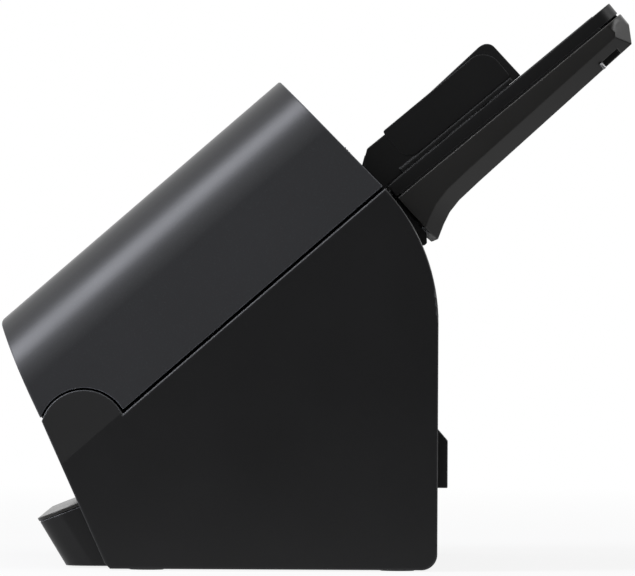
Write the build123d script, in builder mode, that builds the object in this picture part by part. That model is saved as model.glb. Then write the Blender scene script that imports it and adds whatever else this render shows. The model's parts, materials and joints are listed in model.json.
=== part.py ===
from build123d import *
import os
from math import acos, atan2, cos, degrees, pi, radians, sin, tan

# A compact sheet-fed document scanner: a sloping paper path between a base and a hinged cover,
# a feed tray behind it and a pull-out eject tray below it.
# +X is the user's right, +Y the back, +Z up; the origin is on the table, under the middle.
# Pieces on the paper path are placed as (across, along, up): across is X, along climbs the
# slope from the hinge, up stands square to the paper. The feed tray has a like frame.

# Whole machine
WALL = 2.2
FLOOR_CLEARANCE = 0.5
RUNNING_FIT = 0.05
SLIDING_GAP = 0.3

# Paper path and hinge
PATH_ANGLE = 41.0
HINGE_Y = -93.35
HINGE_Z = 54.5
HINGE_RISE = 3.4
HUB_RADIUS = 17.7
HUB_GAP = 0.9
PARTING_GAP = 1.2
GUIDE_THICKNESS = 2.0
PAPER_GAP = 0.8

# Base outline, seen from the side
FRONT_FOOT_Y = -84.6
FRONT_FOOT_Z = 2.6
FRONT_SLOPE = 65.7
FRONT_CHAMFER = 2.1
BACK_Y = 48.95
BACK_CORNER = 6.4
BACK_CURVE_RADIUS = 79.0
BACK_CURVE_Z = 99.5
EDGE_ROUND = 0.8

# Layout across the machine: the paper guide's half width sets the frames, housings and trays
GUIDE_HALF = 117.7
EXIT_GUIDE_STEP = 5.7
EXIT_GUIDE_END = 12.0
CHEEK_GAP = 3.0
CHEEK_THICKNESS = 2.5
FRAME_THICKNESS = 1.5
FRAME_INSET = 2.6
HOUSING_GAP = 1.5
SIDE_ROOM = 27.5
FRAME_X = GUIDE_HALF + SLIDING_GAP
EXIT_GUIDE_HALF = GUIDE_HALF - EXIT_GUIDE_STEP
CHEEK_X = FRAME_X - CHEEK_GAP - CHEEK_THICKNESS
HOUSING_X = FRAME_X + FRAME_THICKNESS + HOUSING_GAP
HALF_WIDTH = FRAME_X + SIDE_ROOM

# Cover outline, in the path frame
COVER_LENGTH = 156.0
COVER_DEPTH = 60.0
COVER_TOP_LEAN = 3.7
NOSE_ALONG = 3.65
NOSE_LIP_ALONG = -9.1
NOSE_LIP_UP = 19.5
NOSE_BOW = 0.55
NOSE_CORNER = 3.0
TOP_CORNER = 1.0
SIDE_TAPER = 4.5
SHOULDER_ROUND = 30.0
NOSE_SIDE_ROUND = 5.0
MOUTH_SIDE_GAP = 0.1
MOUTH_HALF = CHEEK_X + MOUTH_SIDE_GAP
MOUTH_HEIGHT = 16.2
MOUTH_START = 136.0
MOUTH_END = 154.5
MOUTH_RISE = 12.5
COVER_OPENING_START = 13.0
COVER_OPENING_HEIGHT = 14.0

# Rollers: radius and place along the path
FEED_RADIUS = 12.0
FEED_ALONG = 128.0
DRIVE_RADIUS = 10.0
DRIVE_ALONG = 100.0
EJECT_ALONG = 24.0
SEPARATION_RADIUS = 9.0
PINCH_RADIUS = 6.0
NIP_GAP = 0.3
SHAFT_RADIUS = 4.0
PINCH_SHAFT_RADIUS = 2.0
SEPARATION_SHAFT_RADIUS = 2.5
FEED_TYRE_WIDTH = 20.0
FEED_TYRE_X = 13.0
TYRE_WIDTH = 20.0
TYRE_SIDE_ROOM = 22.5
TYRE_INNER_X = 40.0
TYRE_OUTER_X = CHEEK_X - TYRE_SIDE_ROOM
TYRE_PLACES = (-TYRE_OUTER_X, -TYRE_INNER_X, TYRE_INNER_X, TYRE_OUTER_X)
TYRE_SLOT_SIDE = 1.5
BUSH_RADIUS = 5.0
BUSH_FLANGE_RADIUS = 6.5
BUSH_FLANGE = 1.0
PULLEY_RADIUS = 5.2
PULLEY_WIDTH = 8.0
PULLEY_FLANGE_RADIUS = 7.0
PULLEY_FLANGE = 0.8
BELT_GAP = 0.25
BELT_THICKNESS = 1.2
BELT_WIDTH = 6.0

# Motor
MOTOR_Y = 11.6
MOTOR_Z = 61.7
MOTOR_RADIUS = 21.0
MOTOR_LENGTH = 26.0
MOTOR_PILOT = 7.0
MOTOR_SHAFT_RADIUS = 2.5

# Image sensors
SENSOR_END_GAP = 0.1
SENSOR_HALF = CHEEK_X - SENSOR_END_GAP
SENSOR_LENGTH = 14.0
SENSOR_HEIGHT = 12.0
SENSOR_GLASS_END = 3.4
SENSOR_GLASS_HALF = SENSOR_HALF - SENSOR_GLASS_END
SENSOR_GLASS_MARGIN = 1.0
LOWER_SENSOR_ALONG = 74.0
UPPER_SENSOR_ALONG = 56.0

# Hinge and cheeks
HINGE_PIN_RADIUS = 3.0
HINGE_HEAD_RADIUS = 6.0
EAR_RADIUS = 8.0
CHEEK_HEIGHT = 24.0
CHEEK_END = 150.0

# Separation roller holder
HOLDER_HALF = 31.0
HOLDER_WALL = 3.0
HOLDER_START = 117.0
HOLDER_END = 135.5
HOLDER_TOP = 20.0

# Cover latch
LATCH_ALONG = 146.0
LATCH_UP = 16.0
LATCH_SHAFT_RADIUS = 2.5
HOOK_SIDE_ROOM = 5.0
HOOK_X = FRAME_X + HOOK_SIDE_ROOM
HOOK_THICKNESS = 4.0
HOOK_REACH = 10.0
HOOK_WIDTH = 6.0
KEEPER_RADIUS = 1.5
KEEPER_DROP = 6.5
KEEPER_LENGTH = 8.5
HOOK_BARB = 1.6
HOOK_BARB_DEPTH = 1.4
HOOK_CLEARANCE = 0.5
HOOK_SLOT_BACK = 3.2
HOOK_SLOT_SIDE = 1.5
LEVER_X = 60.0
LEVER_HUB_RADIUS = 4.5
LEVER_WIDTH = 24.0
LEVER_UP = 21.4
LEVER_THICKNESS = 3.6
LEVER_PROUD = 0.8
LEVER_SLOT_MARGIN = 3.2

# Operation panel and its buttons, on the cover's front; places count from the panel's left edge
PANEL_SIDE_ROOM = 41.5
PANEL_WIDTH = 66.0
PANEL_X = (HALF_WIDTH - PANEL_SIDE_ROOM - PANEL_WIDTH, HALF_WIDTH - PANEL_SIDE_ROOM)
PANEL_ALONG = (96.0, 140.0)
PANEL_THICKNESS = 1.2
PANEL_CORNER = 4.0
BUTTON_ALONG = 118.0
START_BUTTON_PLACE = 50.0
START_BUTTON_RADIUS = 9.0
STOP_BUTTON_PLACE = 28.0
POWER_BUTTON_PLACE = 11.0
SMALL_BUTTON_RADIUS = 5.0
BUTTON_CAP = 4.0
BUTTON_STEM_RADIUS = 2.0
BUTTON_STEM = 4.5
BUTTON_TRAVEL = 1.0
WINDOW_PLACE = 39.0
WINDOW_X = PANEL_X[0] + WINDOW_PLACE
WINDOW_ALONG = 133.0
WINDOW_DEPTH = 3.0
WINDOW_SIZE = (14.0, 3.0)
PANEL_BOARD_THICKNESS = 1.6
SWITCH_HEIGHT = 1.0
SWITCH_SIDE = 6.0
PANEL_BOARD_MARGIN = 4.0
PANEL_BOARD_X = (PANEL_X[0] + PANEL_BOARD_MARGIN, PANEL_X[1] - PANEL_BOARD_MARGIN)
PANEL_BOARD_ALONG = (104.0, 136.0)
PANEL_POST_RADIUS = 2.5
PANEL_POST_MARGIN = 4.0

# Base inside
BOTTOM_PLATE = 2.0
BOTTOM_PLATE_FRONT = -78.0
CHASSIS_Z = 28.4
CHASSIS_THICKNESS = 1.5
CHASSIS_FRONT = -82.0
CHUTE_TOP_Y = -97.15
CHUTE_TOP_Z = 42.6
CHUTE_FOOT_Y = -80.75
CHUTE_THICKNESS = 2.4
TIE_BAR_RADIUS = 3.0
TIE_BARS = ((38.0, 115.0), (-60.0, 40.0))
FOOT_RADIUS = 7.0
FOOT_HEIGHT = 2.75
FOOT_RIM_RADIUS = 8.5
FOOT_RIM = 1.2
FOOT_SIDE_ROOM = 13.5
FOOT_X = HALF_WIDTH - FOOT_SIDE_ROOM
FOOT_FRONT_Y = -68.0
FOOT_BACK_Y = 33.0
GUIDE_FRONT = -10.8
GUIDE_BACK = 154.0
GUIDE_FLANGE = 5.0
GUIDE_FLANGE_ALONG = ((34.0, 90.0), (140.0, 150.0))
UPPER_GUIDE_FRONT = 2.0
REAR_COVER_FRONT_Y = 30.0
REAR_COVER_TOP_Z = 150.5

# Main board and the rear connectors
BOARD_START_X = 10.0
BOARD_SIDE_ROOM = 6.0
BOARD_X = (BOARD_START_X, FRAME_X - BOARD_SIDE_ROOM)
BOARD_FRONT_Y = -18.0
BOARD_STANDOFF = 3.2
BOARD_THICKNESS = 1.6
STANDOFF_RADIUS = 3.0
STANDOFF_MARGIN = 5.0
CHIP_SIDE = 16.0
CHIP_HEIGHT = 1.5
CHIP_PLACES = ((40.0, 0.0), (85.0, 2.0))
DC_SIDE_ROOM = 50.0
DC_X = FRAME_X - DC_SIDE_ROOM
DC_SIZE = (10.0, 14.0, 11.0)
DC_BORE = 3.4
DC_PIN = 1.0
USB_SIDE_ROOM = 29.0
USB_X = FRAME_X - USB_SIDE_ROOM
USB_SIZE = (13.0, 16.0, 11.5)
USB_OPENING = (8.6, 7.8)
USB_TONGUE = (5.6, 3.0)
SOCKET_DEPTH = 10.0
SOCKET_MOUTH = 4.8
SURROUND_SIDE_ROOM = 14.0
SURROUND_WIDTH = 48.0
SURROUND_X = (FRAME_X - SURROUND_SIDE_ROOM - SURROUND_WIDTH, FRAME_X - SURROUND_SIDE_ROOM)
SURROUND_Z = (32.8, 52.1)
SURROUND_PROUD = 4.5
SURROUND_BEVEL = 5.2
SURROUND_WINDOW_MARGIN = 1.0
SCREW_HEAD_RADIUS = 3.2
SCREW_HEAD = 1.4
SCREW_RADIUS = 1.5
SCREW_LENGTH = 7.0
SCREW_SIDE_ROOM = 13.0
SCREW_X = HOUSING_X - SCREW_SIDE_ROOM
SCREW_HEIGHTS = (64.0, 94.0)
SCREW_BOSS_RADIUS = 4.0
SCREW_BOSS = 6.0

# Eject tray, seen from the side
TRAY_SIDE_GAP = 1.5
TRAY_HALF = FRAME_X - TRAY_SIDE_GAP
LIP_Y = -112.8
LIP_Z = 19.8
LIP_THICKNESS = 1.4
LIP_GAP = 0.35
LIP_OVERHANG = 1.1
RAMP_SLOPE = 21.3
RAMP_END_Y = -94.0
BLOCK_FACE_SLOPE = 58.2
BLOCK_BOTTOM_Z = 0.8
BLOCK_BACK_Y = -84.0
BLOCK_ROUND = 10.0
PAN_BOTTOM_Z = 2.9
PAN_BACK_Y = 40.0
PAN_WALL = 2.4
SLIDE_SIDE_ROOM = 16.5
SLIDE_HALF = TRAY_HALF - SLIDE_SIDE_ROOM
SLIDE_Z = 8.3
SLIDE_SLOT_GAP = 0.5
RAIL_FRONT_Y = -98.0
SLIDE_THICKNESS = 3.0
SLIDE_BACK_Y = 35.0
SLIDE_FRONT_Y = -105.0
RAIL_X = (60.0, 66.0)

# Feed tray, in its own frame
TRAY_ANGLE = 39.9
TRAY_Y = 28.55
TRAY_Z = 155.1
FEED_SIDE_GAP = 3.0
FEED_HALF = FRAME_X - FEED_SIDE_GAP
PLATE_LENGTH = 116.4
PLATE_RIM = 5.4
PLATE_SKIN = 2.4
PLATE_RIM_WIDTH = 2.5
PLAN_CORNER = 9.0
SHELL_GAP = 0.8
SHELL_END = PLATE_LENGTH + SHELL_GAP
SHELL_END_UP = -11.6
SHELL_HEEL_BACK = 4.3
SHELL_HEEL = (SHELL_END - SHELL_HEEL_BACK, -18.6)
SHELL_BACK = (30.0, -22.1)
SHELL_KNEE = (18.7, -22.8)
SHELL_CURVE = ((7.7, -26.3), (12.65, -24.1))
SHELL_TIP = (1.8, -29.6)
SHELL_TOE = (1.0, -24.9)
SHELL_CHAMFER = 6.5
SHELL_SIDE_WALL = 3.5
POCKET_WIDTH = 13.0
POCKET_X = (FEED_HALF - SHELL_SIDE_WALL - POCKET_WIDTH, FEED_HALF - SHELL_SIDE_WALL)
POCKET_DEPTH = 12.5
CAVITY_WALL = 2.5
CAVITY_HALF = POCKET_X[0] - CAVITY_WALL
CAVITY_START = 4.0
CAVITY_DEPTH = 16.8
GRIP_SIDE_WALL = 4.0
GRIP_BACK = 10.2
GRIP_LENGTH = 8.0
GRIP_X = (POCKET_X[0], FEED_HALF - GRIP_SIDE_WALL)
GRIP_ALONG = (SHELL_END - GRIP_BACK - GRIP_LENGTH, SHELL_END - GRIP_BACK)
GRIP_TOP = -13.8
POCKET_START = 8.0
POCKET_END_WALL = 5.0
POCKET_ALONG = (POCKET_START, GRIP_ALONG[0] - POCKET_END_WALL)
STAGE_SIDE_GAP = 2.0
BRACKET_X = CAVITY_HALF - STAGE_SIDE_GAP
BRACKET_WIDTH = 12.0
BRACKET_TOP = (32.3, 150.3)
BRACKET_BACK = (44.3, 136.3)
BRACKET_TIP = (44.6, 132.2)
BRACKET_TOE = (43.6, 131.2)

# Telescopic extension of the feed tray
UPPER_STAGE_HALF = 60.0
STAGE_HALF = (CAVITY_HALF - STAGE_SIDE_GAP, UPPER_STAGE_HALF)
STAGE_TOP = -6.9
STAGE_THICKNESS = 3.0
STAGE_START = 8.0
STAGE_END_GAP = 2.4
STAGE_END = PLATE_LENGTH - STAGE_END_GAP
STAGE_LIP = 2.5
STAGE_LIP_DROP = 3.0
STAGE_LIP_GAP = 2.0

# Document guides and their rack and pinion
GUIDE_SIDE_ROOM = 6.0
PAPER_HALF = FEED_HALF - GUIDE_SIDE_ROOM
GUIDE_WALL = 2.5
GUIDE_CLEARANCE = 0.3
GUIDE_LENGTH = 70.0
GUIDE_END_TOP = 18.8
GUIDE_TOP_BACK = (64.9, 20.0)
GUIDE_CORNER = 6.5
TOE_POINTS = ((-11.0, 1.3), (-9.0, 5.5), (-2.2, 12.15), (-0.64, 14.35), (3.2, 17.1), (12.8, 17.0))
GUIDE_FOOT_WIDTH = 3.0
GUIDE_FOOT_HEIGHT = 2.0
GUIDE_FOOT_ALONG = (8.0, 66.0)
CLOSED_HALF = 26.0
GUIDE_TRAVEL = PAPER_HALF - CLOSED_HALF
PINION_ALONG = 40.0
GEAR_MODULE = 1.0
PINION_TEETH = 16
GEAR_THICKNESS = 2.4
TOOTH_HEIGHT = 0.8
TOOTH_SLACK = 0.45
PRESSURE_ANGLE = 20.0
RACK_WIDTH = 4.0
RACK_TOP = -2.8
RACK_REACH = 5.0
STEM_WIDTH = 4.0
PINION_PIN_RADIUS = 2.5
PINION_PIN_DEPTH = 5.9

# Document sensor
FLAG_X = 20.0
FLAG_WIDTH = 3.0
FLAG_ALONG = 14.0
FLAG_AXLE_RADIUS = 1.5
FLAG_AXLE_DEPTH = 4.2
FLAG_HEIGHT = 6.5
FLAG_AXLE_HALF = 5.0
FLAG_SLOT = (1.0, 18.0)
FLAG_BEARING_GAP = 0.6

# Values worked out from the sizes above
PARTING = PARTING_GAP / 2
PATH_DIRECTION = Vector(0, cos(radians(PATH_ANGLE)), sin(radians(PATH_ANGLE)))
PATH_NORMAL = Vector(0, -sin(radians(PATH_ANGLE)), cos(radians(PATH_ANGLE)))
PATH_ORIGIN = Vector(0, HINGE_Y, HINGE_Z) - PATH_NORMAL * HINGE_RISE
PATH = Plane(origin=PATH_ORIGIN, x_dir=(1, 0, 0), z_dir=PATH_NORMAL)
PATH_SIDE = Plane(origin=PATH_ORIGIN, x_dir=PATH_DIRECTION, z_dir=(1, 0, 0))
PANEL_PLANE = PATH.offset(COVER_DEPTH)
TRAY_DIRECTION = Vector(0, cos(radians(TRAY_ANGLE)), sin(radians(TRAY_ANGLE)))
TRAY_NORMAL = Vector(0, -sin(radians(TRAY_ANGLE)), cos(radians(TRAY_ANGLE)))
TRAY = Plane(origin=(0, TRAY_Y, TRAY_Z), x_dir=(1, 0, 0), z_dir=TRAY_NORMAL)
TRAY_SIDE = Plane(origin=(0, TRAY_Y, TRAY_Z), x_dir=TRAY_DIRECTION, z_dir=(1, 0, 0))
FEED_UP = -NIP_GAP / 2 - FEED_RADIUS
DRIVE_UP = -NIP_GAP / 2 - DRIVE_RADIUS
SEPARATION_UP = NIP_GAP / 2 + SEPARATION_RADIUS
PINCH_UP = NIP_GAP / 2 + PINCH_RADIUS
LOWER_SHAFTS = ((FEED_ALONG, FEED_UP), (DRIVE_ALONG, DRIVE_UP), (EJECT_ALONG, DRIVE_UP))
GUIDE_TOP = -PARTING
GUIDE_UNDER = GUIDE_TOP - GUIDE_THICKNESS
UPPER_GUIDE_TOP = PAPER_GAP + GUIDE_THICKNESS
CHEEK_OUTER = CHEEK_X + CHEEK_THICKNESS
HUB_CUT = HUB_RADIUS + HUB_GAP
HOOK_FRONT = LATCH_ALONG - HOOK_WIDTH / 2 - HOOK_BARB
HOOK_SLOT = (HOOK_FRONT - 2 * HOOK_CLEARANCE, LATCH_ALONG + HOOK_WIDTH / 2 + HOOK_SLOT_BACK)
HOOK_SLOT_ACROSS = (HOOK_X - HOOK_SLOT_SIDE, HOOK_X + HOOK_THICKNESS + HOOK_SLOT_SIDE)
KEEPER_ALONG = HOOK_FRONT - HOOK_CLEARANCE - KEEPER_RADIUS
BUTTONS = (
    ("start_button", PANEL_X[0] + START_BUTTON_PLACE, START_BUTTON_RADIUS),
    ("stop_button", PANEL_X[0] + STOP_BUTTON_PLACE, SMALL_BUTTON_RADIUS),
    ("power_button", PANEL_X[0] + POWER_BUTTON_PLACE, SMALL_BUTTON_RADIUS),
)
PANEL_BOARD_TOP = COVER_DEPTH - BUTTON_CAP - BUTTON_STEM - BUTTON_TRAVEL - SWITCH_HEIGHT - RUNNING_FIT
FRAME_OUTER = FRAME_X + FRAME_THICKNESS
PULLEY_X = FRAME_OUTER + BUSH_FLANGE + SLIDING_GAP
CHASSIS_TOP = CHASSIS_Z + CHASSIS_THICKNESS
BOARD_Z = CHASSIS_TOP + BOARD_STANDOFF
SOCKET_Z = BOARD_Z + BOARD_THICKNESS
SOCKET_FACE_Y = BACK_Y + SURROUND_PROUD / 2
RAMP_RISE = (RAMP_END_Y - LIP_Y) * tan(radians(RAMP_SLOPE))
TRAY_TOP_Z = LIP_Z + RAMP_RISE
PAN_TOP_Z = TRAY_TOP_Z - LIP_THICKNESS - LIP_GAP
SHELL_TOP = -PLATE_RIM - SHELL_GAP
PITCH_RADIUS = GEAR_MODULE * PINION_TEETH / 2
FAR = 400.0


def block(across, along, up, mode=Mode.ADD):
    """A block between low and high ends, in the frame of the part being made."""
    with Locations(((across[0] + across[1]) / 2, (along[0] + along[1]) / 2, (up[0] + up[1]) / 2)):
        Box(across[1] - across[0], along[1] - along[0], up[1] - up[0], mode=mode)


def rod(radius, across, along, up, mode=Mode.ADD):
    """A round bar across the machine, between two places across."""
    with Locations(((across[0] + across[1]) / 2, along, up)):
        Cylinder(radius, across[1] - across[0], rotation=(0, 90, 0), mode=mode)


def both_sides(low, high):
    """The same span across the machine on the right and on the left."""
    return ((low, high), (-high, -low))


def save(part, name):
    """Label a finished piece and write it under its name."""
    part.label = name
    export_step(part, f"parts/{name}.step")


def mirrored(part):
    """The left twin of a right-hand piece."""
    with BuildPart() as twin:
        mirror(part, about=Plane.YZ)
    return twin.part


def base_outline(at, inset):
    """The side view of the base at a place across, with its edge drawn in by inset."""
    rise = 120.0
    front_top = (FRONT_FOOT_Y - rise / tan(radians(FRONT_SLOPE)), FRONT_FOOT_Z + rise)
    with BuildSketch(Plane.YZ.offset(at)) as outline:
        with BuildLine():
            back = Line((BACK_Y, FLOOR_CLEARANCE + BACK_CORNER), (BACK_Y, BACK_CURVE_Z))
            curve = JernArc(back @ 1, (0, 1), BACK_CURVE_RADIUS, 80)
            Polyline(
                curve @ 1,
                front_top,
                (FRONT_FOOT_Y, FRONT_FOOT_Z),
                (FRONT_FOOT_Y + FRONT_CHAMFER, FLOOR_CLEARANCE),
                (BACK_Y - BACK_CORNER, FLOOR_CLEARANCE),
            )
            RadiusArc((BACK_Y - BACK_CORNER, FLOOR_CLEARANCE), back @ 0, -BACK_CORNER)
        make_face()
        with Locations(Location((PATH_ORIGIN.Y, PATH_ORIGIN.Z), PATH_ANGLE)):
            with Locations((0, -PARTING)):
                Rectangle(2 * FAR, FAR, align=(Align.CENTER, Align.MIN), mode=Mode.SUBTRACT)
        with Locations((HINGE_Y, HINGE_Z)):
            Circle(HUB_RADIUS)
        with Locations(Location((FRONT_FOOT_Y, FRONT_FOOT_Z), 180 - FRONT_SLOPE)):
            Rectangle(2 * FAR, FAR, align=(Align.CENTER, Align.MIN), mode=Mode.SUBTRACT)
        if inset:
            offset(amount=-inset)
    return outline.sketch


def front_rounding(base_y, base_z, slope, half_width, radius, bow):
    """A long prism along a sloping face, with its two side edges rounded."""
    direction = Vector(0, cos(radians(slope)), sin(radians(slope)))
    plane = Plane(origin=(0, base_y, base_z), x_dir=(1, 0, 0), z_dir=direction)
    with BuildSketch(plane) as section:
        with Locations((0, -bow)):
            Rectangle(2 * half_width, FAR, align=(Align.CENTER, Align.MIN))
        front = section.vertices().group_by(Axis.Y)[0]
        fillet(front, radius=radius)
    with BuildPart() as prism:
        extrude(section.sketch, amount=FAR / 2, both=True)
    return prism.part


def cover_solid(inset):
    """The cover's outer form, or with an inset the hollow inside its walls."""
    with BuildSketch(PATH_SIDE) as profile:
        with BuildLine():
            SagittaArc((NOSE_ALONG, COVER_DEPTH), (NOSE_LIP_ALONG, NOSE_LIP_UP), -NOSE_BOW)
            Polyline(
                (NOSE_LIP_ALONG, NOSE_LIP_UP),
                (0, HINGE_RISE),
                (0, PARTING),
                (COVER_LENGTH, PARTING),
                (COVER_LENGTH - COVER_TOP_LEAN, COVER_DEPTH),
                (NOSE_ALONG, COVER_DEPTH),
            )
        make_face()
        top = profile.vertices().group_by(Axis.Y)[-1].sort_by(Axis.X)
        fillet(top[0], radius=NOSE_CORNER)
        fillet(profile.vertices().group_by(Axis.Y)[-1].sort_by(Axis.X)[-1], radius=TOP_CORNER)
        with Locations((0, HINGE_RISE)):
            Circle(HUB_CUT, mode=Mode.SUBTRACT)
        if inset:
            offset(amount=-inset, kind=Kind.INTERSECTION)
    section_plane = Plane(
        origin=PATH_ORIGIN + PATH_DIRECTION * FAR, x_dir=(1, 0, 0), z_dir=PATH_DIRECTION * -1
    )
    narrow = HALF_WIDTH - COVER_DEPTH * tan(radians(SIDE_TAPER))
    with BuildSketch(section_plane) as section:
        Polygon(
            (-HALF_WIDTH, -COVER_DEPTH), (HALF_WIDTH, -COVER_DEPTH), (HALF_WIDTH, 0),
            (narrow, COVER_DEPTH), (-narrow, COVER_DEPTH), (-HALF_WIDTH, 0), align=None,
        )
        fillet(section.vertices().group_by(Axis.Y)[-1], radius=SHOULDER_ROUND)
        if inset:
            offset(amount=-inset)
    lip = PATH_ORIGIN + PATH_DIRECTION * NOSE_LIP_ALONG + PATH_NORMAL * NOSE_LIP_UP
    nose_slope = PATH_ANGLE + degrees(atan2(COVER_DEPTH - NOSE_LIP_UP, NOSE_ALONG - NOSE_LIP_ALONG))
    nose = front_rounding(
        lip.Y, lip.Z, nose_slope, HALF_WIDTH - inset, NOSE_SIDE_ROUND - inset, NOSE_BOW - inset
    )
    with BuildPart() as solid:
        extrude(profile.sketch, amount=HALF_WIDTH, both=True)
        extrude(section.sketch, amount=2 * FAR, mode=Mode.INTERSECT)
        add(nose, mode=Mode.INTERSECT)
    return solid.part


def hook_slots(up):
    """Cut the slots that the latch hooks pass through."""
    for span in both_sides(*HOOK_SLOT_ACROSS):
        block(span, HOOK_SLOT, up, Mode.SUBTRACT)


def panel_face(margin):
    """The operation panel's outline on the cover's front, drawn in by a margin."""
    with BuildSketch(PANEL_PLANE) as face:
        with Locations((sum(PANEL_X) / 2, sum(PANEL_ALONG) / 2)):
            RectangleRounded(
                PANEL_X[1] - PANEL_X[0] - 2 * margin,
                PANEL_ALONG[1] - PANEL_ALONG[0] - 2 * margin,
                PANEL_CORNER,
            )
    return face.sketch


def panel_openings(margin):
    """Cut the openings of the three buttons and the status window."""
    for _, x, radius in BUTTONS:
        with Locations((x, BUTTON_ALONG, COVER_DEPTH)):
            Cylinder(radius + margin, 4 * WALL, mode=Mode.SUBTRACT)
    with Locations((WINDOW_X, WINDOW_ALONG, COVER_DEPTH)):
        Box(WINDOW_SIZE[0] + margin, WINDOW_SIZE[1] + margin, 4 * WALL, mode=Mode.SUBTRACT)


def panel_posts():
    """Where the cover's posts hold the panel board."""
    return [
        (x, along)
        for x in (PANEL_BOARD_X[0] + PANEL_POST_MARGIN, PANEL_BOARD_X[1] - PANEL_POST_MARGIN)
        for along in (
            PANEL_BOARD_ALONG[0] + PANEL_POST_MARGIN, PANEL_BOARD_ALONG[1] - PANEL_POST_MARGIN
        )
    ]


def make_cover_shell():
    """The hinged cover's outer shell, open underneath between its side flanges."""
    outer = cover_solid(0)
    hollow = cover_solid(WALL)
    recess = panel_face(0)
    opening = FRAME_X - RUNNING_FIT
    lever_half = LEVER_WIDTH / 2 + SLIDING_GAP
    lever_low = LEVER_UP - LEVER_THICKNESS / 2 - LEVER_SLOT_MARGIN / 2
    lever_high = LEVER_UP + LEVER_THICKNESS / 2 + LEVER_SLOT_MARGIN
    top_wall = (COVER_LENGTH - COVER_TOP_LEAN - 2 * WALL, COVER_LENGTH + WALL)
    with BuildPart() as cover:
        add(outer)
        add(hollow, mode=Mode.SUBTRACT)
        extrude(recess, amount=-PANEL_THICKNESS, mode=Mode.SUBTRACT)
        with Locations(PATH):
            block(
                (-MOUTH_HALF, MOUTH_HALF), (MOUTH_START, FAR), (-WALL, MOUTH_HEIGHT), Mode.SUBTRACT
            )
            block(
                (-opening, opening), (COVER_OPENING_START, CHEEK_END),
                (-WALL, COVER_OPENING_HEIGHT), Mode.SUBTRACT,
            )
            hook_slots((-WALL, 2 * WALL))
            block(
                (LEVER_X - lever_half, LEVER_X + lever_half), top_wall,
                (lever_low, lever_high), Mode.SUBTRACT,
            )
            for x, along in panel_posts():
                with Locations((x, along, COVER_DEPTH - WALL)):
                    Cylinder(
                        PANEL_POST_RADIUS, COVER_DEPTH - WALL - PANEL_BOARD_TOP,
                        align=(Align.CENTER, Align.CENTER, Align.MAX),
                    )
            panel_openings(2 * SLIDING_GAP)
    save(cover.part, "cover_shell")


def make_cover_guide():
    """The cover's paper guide, rising into the feed mouth, with the cheeks that carry it."""
    rise_at_end = MOUTH_RISE * (CHEEK_END - MOUTH_START) / (MOUTH_END - MOUTH_START)
    with BuildSketch(PATH_SIDE) as plate:
        Polygon(
            (UPPER_GUIDE_FRONT, PAPER_GAP), (MOUTH_START, PAPER_GAP),
            (MOUTH_END, PAPER_GAP + MOUTH_RISE), (MOUTH_END, UPPER_GUIDE_TOP + MOUTH_RISE),
            (MOUTH_START, UPPER_GUIDE_TOP), (UPPER_GUIDE_FRONT, UPPER_GUIDE_TOP), align=None,
        )
    with BuildSketch(PATH_SIDE.offset(CHEEK_X)) as cheek:
        Polygon(
            (0, HINGE_RISE - EAR_RADIUS), (EAR_RADIUS, PAPER_GAP), (MOUTH_START, PAPER_GAP),
            (CHEEK_END, PAPER_GAP + rise_at_end), (CHEEK_END, CHEEK_HEIGHT),
            (CHEEK_END - DRIVE_ALONG, CHEEK_HEIGHT),
            (HUB_RADIUS, HINGE_RISE + EAR_RADIUS + RUNNING_FIT), (0, HINGE_RISE + EAR_RADIUS),
            align=None,
        )
        with Locations((0, HINGE_RISE)):
            Circle(EAR_RADIUS)
            Circle(HINGE_PIN_RADIUS + RUNNING_FIT, mode=Mode.SUBTRACT)
        with Locations((DRIVE_ALONG, PINCH_UP), (EJECT_ALONG, PINCH_UP)):
            Circle(PINCH_SHAFT_RADIUS + RUNNING_FIT, mode=Mode.SUBTRACT)
        with Locations((LATCH_ALONG, LATCH_UP)):
            Circle(LATCH_SHAFT_RADIUS + RUNNING_FIT, mode=Mode.SUBTRACT)
    with BuildPart(PATH) as guide:
        extrude(plate.sketch, amount=CHEEK_X, both=True)
        extrude(cheek.sketch, amount=CHEEK_THICKNESS)
        mirror(about=Plane.YZ)
        for along in (DRIVE_ALONG, EJECT_ALONG):
            for x in TYRE_PLACES:
                tyre_slot(x, TYRE_WIDTH, along, PINCH_RADIUS, (0, UPPER_GUIDE_TOP + RUNNING_FIT))
        for x in (-FEED_TYRE_X, FEED_TYRE_X):
            tyre_slot(x, FEED_TYRE_WIDTH, FEED_ALONG, SEPARATION_RADIUS, (0, UPPER_GUIDE_TOP + RUNNING_FIT))
        block(
            (-SENSOR_GLASS_HALF - SLIDING_GAP, SENSOR_GLASS_HALF + SLIDING_GAP),
            sensor_window(UPPER_SENSOR_ALONG), (0, UPPER_GUIDE_TOP + RUNNING_FIT), Mode.SUBTRACT,
        )
    save(guide.part, "cover_paper_guide")


def tyre_slot(x, width, along, radius, up):
    """Cut the slot in a paper guide that a roller's tyre reaches through."""
    half = width / 2 + TYRE_SLOT_SIDE
    reach = (2 * radius * (PAPER_GAP + GUIDE_THICKNESS)) ** 0.5 + TYRE_SLOT_SIDE
    block((x - half, x + half), (along - reach, along + reach), up, Mode.SUBTRACT)


def sensor_window(along):
    """The span along the path of a sensor's glass, with its seating gap."""
    low = along + SENSOR_GLASS_MARGIN - SLIDING_GAP
    high = along + SENSOR_LENGTH - SENSOR_GLASS_MARGIN + SLIDING_GAP
    return (low, high)


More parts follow.
